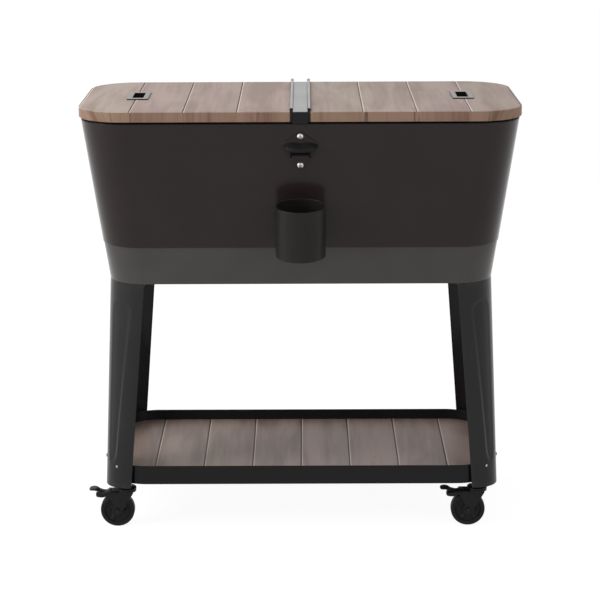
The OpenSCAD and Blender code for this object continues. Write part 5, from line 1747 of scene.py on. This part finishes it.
@dataclass
class Caster:
    """One swivel caster: fork, axle, wheel and, at the front, brake pedal."""

    corner: Corner
    stem_x: float = 387.0
    stem_y: float = 161.5
    trail: float = 20.0
    wheel_r: float = 37.5
    wheel_w: float = 24.0
    axle_r: float = 4.05
    web_z: float = 79.2
    web_t: float = 3.0
    top_z: float = 91.2
    stem_r: float = 5.05
    cheek_y: tuple[float, float] = (13.5, 16.5)
    bend_r: float = 4.5
    boss_r: float = 10.0
    hex_r: float = 5.8
    hex_t: float = 3.0
    pedal_x: float = 35.0
    pedal_z: float = 78.7
    pedal_turn: float = 12.0
    pedal_tip: tuple[float, float] = (-47.0, 6.0)
    clear: float = 0.4

    def cheek_span(self, z: Array) -> tuple[Array, Array]:
        """Where a cheek begins and ends along X at heights z, from hulls round its bosses."""
        top = self.web_z + 1.0
        main = [(-self.trail, self.wheel_r, self.boss_r), (-16.5, top, 1.5), (14.5, top, 1.5)]
        left, right = span_of(main, z)
        if self.corner.sy < 0:
            arm = [(-self.pedal_x, self.pedal_z - 1.5, 5.0), (-self.trail, self.wheel_r + 12.0, 6.0),
                   (-12.0, top, 1.5)]
            reach = span_of(arm, z)[0]
            near = smooth((z - (self.wheel_r + 7)) / 9)
            left = left + (np.minimum(left, reach) - left) * near
        return left, right

    def fork(self) -> Patch:
        """The fork: one bent sheet, and the round cup of its swivel on top.

        Rows run up the outside of one cheek, round a bend, across the web and down the other
        cheek. Each row reaches from the cheek's one edge to the other at its height. A low rib
        swells out of each cheek, as a bell curve across it times a soft step up it. The inner skin
        is the same sheet, 3 mm further in.
        """
        turn = angles(0, 90, 7)
        foot = self.wheel_r - self.boss_r
        low = self.wheel_r - self.boss_r * np.cos(angles(4, 90, 8))
        bend_z = self.web_z + self.web_t - self.bend_r
        rise = np.hstack([low, np.linspace(self.wheel_r + 3, bend_z - 1.5, 16)])
        skins = []
        for inward in (0.0, self.web_t):
            r, y = self.bend_r - inward, self.cheek_y[1] - inward
            py = np.hstack([np.full(len(rise), y), y - r + r * np.cos(turn), [6.0, 0.0]])
            pz = np.hstack([rise, bend_z + r * np.sin(turn), np.full(2, bend_z + r)])
            level = np.hstack([rise, np.full(9, bend_z)])
            left, right = self.cheek_span(level)
            across = np.linspace(0, 1, 21)
            x = left[:, None] + (right - left)[:, None] * across
            rib = (np.exp(-((across - 0.5) / 0.17) ** 2)
                   * smooth((pz[:, None] - foot - 16) / 8) * smooth((bend_z - 2 - pz[:, None]) / 8))
            sheet = spread(x, py[:, None] + 1.1 * rib, pz[:, None])
            other = sheet[-2::-1] * np.array([1.0, -1.0, 1.0])
            skins.append(np.vstack([sheet, other]))
        outer, inner = skins
        middle = (outer + inner) / 2
        bulge = np.array([0.7, 0.0, 0.0])
        loop = np.hstack([outer, middle[:, -1:] + bulge, inner[:, ::-1], middle[:, :1] - bulge])
        sheet = join(grid(loop, wrap_v=True), fan(loop[0]), fan(loop[-1]))
        cup = turned_round(rows(
            (self.stem_r, self.web_z + 0.4), (20, self.web_z + 0.4), arc((20.6, self.web_z + 1.4), 1,
            270, 360, 3), (21.6, 83.4), (20.9, 84), (20.9, 84.6), (22, 85.2), (22, 87.4),
            arc((20.6, 87.4), 1.4, 0, 80, 4), (15, 90), (12, 90.9), (10.6, self.top_z),
            (self.stem_r, self.top_z)), 72, wrap=True)
        return join(sheet, cup)

    def axle(self) -> Patch:
        """The axle: a shank, a bolt's head outside one cheek and a nut outside the other."""
        out = self.cheek_y[1]
        end = out + self.hex_t
        shank = turned_round(rows((0, -out), (4, -out), (4, end), (3.4, end + 0.7), (0, end + 0.7)), 32)
        bolt = join(hexagon(self.hex_r, 0, -end, -out), hexagon(self.hex_r, 4.1, out, end), shank)
        return bolt.turned(AXIS_Y, (-self.trail, 0.0, self.wheel_r))

    def wheel(self) -> Patch:
        """The wheel: a profile from the bore over hub, web, rim and crowned tread.

        Six ribs stand on each web: the side height rises by a high power of the cosine of three
        times the angle, between hub and rim only.
        """
        h, r = self.wheel_w / 2, self.wheel_r
        half = rows((self.axle_r, h + 1), (11.5, h + 1), (12.6, h + 0.4), (13, h - 1),
                    (13.4, h - 3.6), (16, h - 4.6), (24, h - 4.6), (27, h - 3.8),
                    (27.8, h - 1.4), (28.6, h - 0.4), (30.5, h - 0.1), (31.2, h - 0.5),
                    (31.9, h - 0.5), (32.6, h), (34.6, h - 0.1), (36.3, h - 1.1), (37.2, h - 2.8),
                    (r, h - 5.4), (r, 0))
        profile = rows(half, half[-2::-1] * np.array([1, -1]))
        patch = turned_round(profile, 120, wrap=True)
        p = patch.points
        rad, a = np.hypot(p[:, 0], p[:, 1]), np.arctan2(p[:, 1], p[:, 0])
        band = smooth((rad - 13.2) / 1.5) * smooth((27.6 - rad) / 1.5)
        p[:, 2] += np.sign(p[:, 2]) * (band * np.cos(3.0 * a) ** 12 * 3.4)
        return patch.turned(AXIS_Y, (-self.trail, 0.0, r))

    def pedal(self) -> Patch:
        """The pedal: a spoon-shaped lever, a shoe under it, and the pin that both turn on.

        Lever and shoe are soft ovals along X, whose centre line, width and thickness change from
        station to station. Points that would cut the tyre when the pedal is down are moved out
        along the wheel's radius, which hollows the shoe to the tread.
        """
        tip_x, tip_z = self.pedal_tip
        t = np.hstack([[0.0, 0.008, 0.03], np.linspace(0.07, 0.93, 26), [0.965, 0.99, 1.0]])
        end = np.sqrt(np.clip(1 - (2 * t - 1) ** 12, 0, 1))
        paddle = smooth((t - 0.52) / 0.25)
        x = 5.0 + (tip_x - 5.0) * t
        lever = lofted(x, tip_z * smooth((t - 0.25) / 0.6) + 3.2 * np.sin(np.pi * t) * paddle * 0.4,
                       (12 - 4.5 * smooth((t - 0.12) / 0.2) + 6.6 * paddle * (1 - 0.16 * t)) * end,
                       (4.4 - 2.4 * smooth((t - 0.1) / 0.25) + 0.9 * np.sin(np.pi * paddle)
                        + paddle * (1 - t) * 2) * end, 0.62)
        x = 4.0 - 37.0 * t
        shoe = lofted(x, -3 - 4 * smooth(t / 0.8), (11.8 - 1.6 * smooth((t - 0.5) / 0.5)) * end,
                      (5.2 + 1.6 * np.sin(np.pi * np.clip(t * 1.1, 0, 1))) * end, 0.55)
        a = math.radians(-self.pedal_turn)
        across, up = self.pedal_x - self.trail, self.wheel_r - self.pedal_z
        hub = np.array([across * math.cos(a) - up * math.sin(a), across * math.sin(a) + up * math.cos(a)])
        patch = join(lever, shoe)
        off = patch.points[:, [0, 2]] - hub
        far = np.linalg.norm(off, axis=1)
        push = np.maximum(far, self.wheel_r + self.clear) / far
        patch.points[:, [0, 2]] = hub + off * push[:, None]
        pin_y = self.cheek_y[1]
        pin = turned_round(rows((0, -pin_y), (2.2, -pin_y), (2.5, 0.3 - pin_y), (2.5, pin_y - 0.3),
                                (2.2, pin_y), (0, pin_y)), 24).turned(AXIS_Y)
        return join(patch, pin).moved(x=-self.pedal_x, z=self.pedal_z)

    def build(self, shop: Workshop) -> None:
        """Makes the caster's pieces."""
        at = self.corner.label
        swivel, black = f"swivel_{at}", "caster_black"
        pieces = [(f"fork_{at}_pressed", self.fork(), swivel, black, black, f"caster_fork_{at}", 45.0),
                  (f"axle_{at}_bolt", self.axle(), swivel, "zinc", "black_zinc",
                   f"caster_axle_{at}", CREASE),
                  (f"wheel_{at}_tyre", self.wheel(), f"wheel_{at}", "wheel_rubber", "wheel_rubber",
                   f"caster_wheel_{at}", CREASE)]
        if self.corner.sy < 0:
            pieces.append((f"pedal_{at}_lever", self.pedal(), f"pedal_{at}", black, black,
                           f"brake_pedal_{at}", 50.0))
        for name, patch, body, slot, finish, node, crease in pieces:
            patch = patch.moved(self.corner.sx * self.stem_x, self.corner.sy * self.stem_y)
            shop.piece(name, patch, body, slot, finish, node, crease=crease)


# Studio


@dataclass
class Studio:
    """Floor, light and the camera at the photograph's viewing angle."""

    focal_px: float = 1900.5
    pitch: float = 13.98
    roll: float = -0.23
    yaw: float = -0.13
    x: float = 7.1
    distance: float = 4124.5
    height: float = 1545.2
    shift_px: float = -20.4
    picture_px: float = 600.0
    home_y: float = 46.2413

    def camera(self) -> None:
        """Sets the camera: its axes from yaw and pitch, turned about its own line of sight."""
        data = bpy.data.cameras.new("photo_camera")
        data.sensor_width = 36.0
        data.lens = self.focal_px / self.picture_px * data.sensor_width
        data.shift_y = self.shift_px / self.picture_px
        data.clip_end = 100.0
        p, w, r = (math.radians(v) for v in (self.pitch, self.yaw, self.roll))
        ahead = Vector((math.sin(w) * math.cos(p), math.cos(w) * math.cos(p), -math.sin(p)))
        right = Vector((math.cos(w), -math.sin(w), 0.0))
        up = right.cross(ahead)
        right_r = right * math.cos(r) + up * math.sin(r)
        up_r = up * math.cos(r) - right * math.sin(r)
        turn = Matrix((right_r, up_r, -ahead)).transposed()
        place = Vector((self.x, -self.distance + self.home_y, self.height)) * MM
        obj = link("photo_camera", data)
        obj.matrix_world = Matrix.Translation(place) @ turn.to_4x4()
        bpy.context.scene.camera = obj

    def lamp(self, name: str, place: Sequence[float], aim: Sequence[float], size: Sequence[float],
             power: float) -> None:
        """Hangs a soft rectangular lamp.

        Args:
            name: The lamp's name.
            place: Where it hangs, in metres.
            aim: What it points at.
            size: Its width and height.
            power: Its power in watts.
        """
        data = bpy.data.lights.new(name, "AREA")
        data.shape, data.size, data.size_y, data.energy = "RECTANGLE", size[0], size[1], power
        obj = link(name, data)
        obj.location = place
        obj.rotation_euler = (Vector(aim) - Vector(place)).to_track_quat("-Z", "Y").to_euler()

    def shown(self, graph: Graph) -> Any:
        """1 for rays from the camera, and from gloss and glass."""
        path = graph.node("ShaderNodeLightPath").outputs
        total = graph.math("ADD", path["Is Camera Ray"], path["Is Glossy Ray"])
        return graph.math("ADD", total, path["Is Transmission Ray"], clamp=True)

    def world(self, level: float) -> None:
        """White where it is seen, and a plain level as light."""
        world = bpy.data.worlds.new("studio")
        world.use_nodes = True
        bpy.context.scene.world = world
        graph = Graph(world.node_tree)
        strength = graph.line(self.shown(graph), 1.0 - level, level)
        sky = graph.node("ShaderNodeBackground", {"Color": (1.0, 1.0, 1.0, 1.0), "Strength": strength})
        graph.feed(graph.node("ShaderNodeOutputWorld").inputs["Surface"], sky.outputs[0])

    def floor(self) -> None:
        """A plain pale floor that keeps the cart's shadow."""
        half, tone, glow_level, glow_share = 30.0, 0.86, 1.1, 0.85
        mesh = bpy.data.meshes.new("studio_floor")
        mesh.from_pydata([(-half, -half, 0.0), (half, -half, 0.0), (half, half, 0.0),
                          (-half, half, 0.0)], [], [(0, 1, 2, 3)])
        material = bpy.data.materials.new("pale_floor")
        material.use_nodes = True
        graph = Graph(material.node_tree)
        matt = graph.node("ShaderNodeBsdfDiffuse", {"Color": (tone,) * 3})
        glow = graph.node("ShaderNodeEmission", {"Color": (1.0, 1.0, 1.0), "Strength": glow_level})
        share = graph.times(self.shown(graph), glow_share)
        both = graph.node("ShaderNodeMixShader", {0: share, 1: matt.outputs[0], 2: glow.outputs[0]})
        graph.feed(graph.node("ShaderNodeOutputMaterial").inputs["Surface"], both.outputs[0])
        mesh.materials.append(material)
        link("studio_floor", mesh)

    def build(self) -> None:
        """Sets the camera, floor, world and lamps."""
        self.camera()
        self.floor()
        self.world(WORLD_LEVEL)
        self.lamp("top_softbox", (-1.6, 0.2, 3.0), (-0.1, 0.0, 0.9), (2.6, 2.2), 33.0)
        self.lamp("left_softbox", (-3.1, -1.3, 1.7), (0.0, 0.0, 0.6), (1.6, 2.2), 68.0)
        self.lamp("right_softbox", (2.8, -2.6, 1.9), (0.0, 0.0, 0.6), (1.6, 2.2), 26.0)


CAD_FINISHES: dict[str, str] = {
    "black_tray_paint": "base_pan leg_plates",
    "cream_foam": "body_foam lid_left_foam lid_right_foam",
    "black_plastic": "centre_bridge drain_spout",
    "hinge_steel": "hinge_pins",
    "zinc_plate": "catcher_screws",
    "seal_rubber": "drain_gaskets",
    "black_zinc": "leg_fasteners tray_fasteners caster_stems caster_nuts",
}


def main() -> None:
    """Builds the cart's looks, sub-assembly by sub-assembly."""
    logging.basicConfig(level=logging.INFO, format="%(message)s")
    bpy.context.scene.view_settings.view_transform = "Standard"
    lo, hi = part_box("lid_left_panel")
    Effects().build_all()
    shop = Workshop((lo.y + hi.y) / 2 / MM, {finish.name: finish.material() for finish in FINISHES})
    for finish, nodes in CAD_FINISHES.items():
        shop.dress(finish, *nodes.split())
    for side in Side:
        Lid(side).build(shop)
    Centre().build(shop)
    trough = Trough()
    trough.build(shop)
    for corner in Corner:
        Leg(corner).build(shop)
        Caster(corner).build(shop)
    Shelf().build(shop)
    for fitting in (BottleOpener(), CapCatcher(), Drain()):
        fitting.build(shop, trough)
    Studio(home_y=shop.home_y).build()
    log.info("%d pieces made", shop.count)


if __name__ == "__main__":
    main()
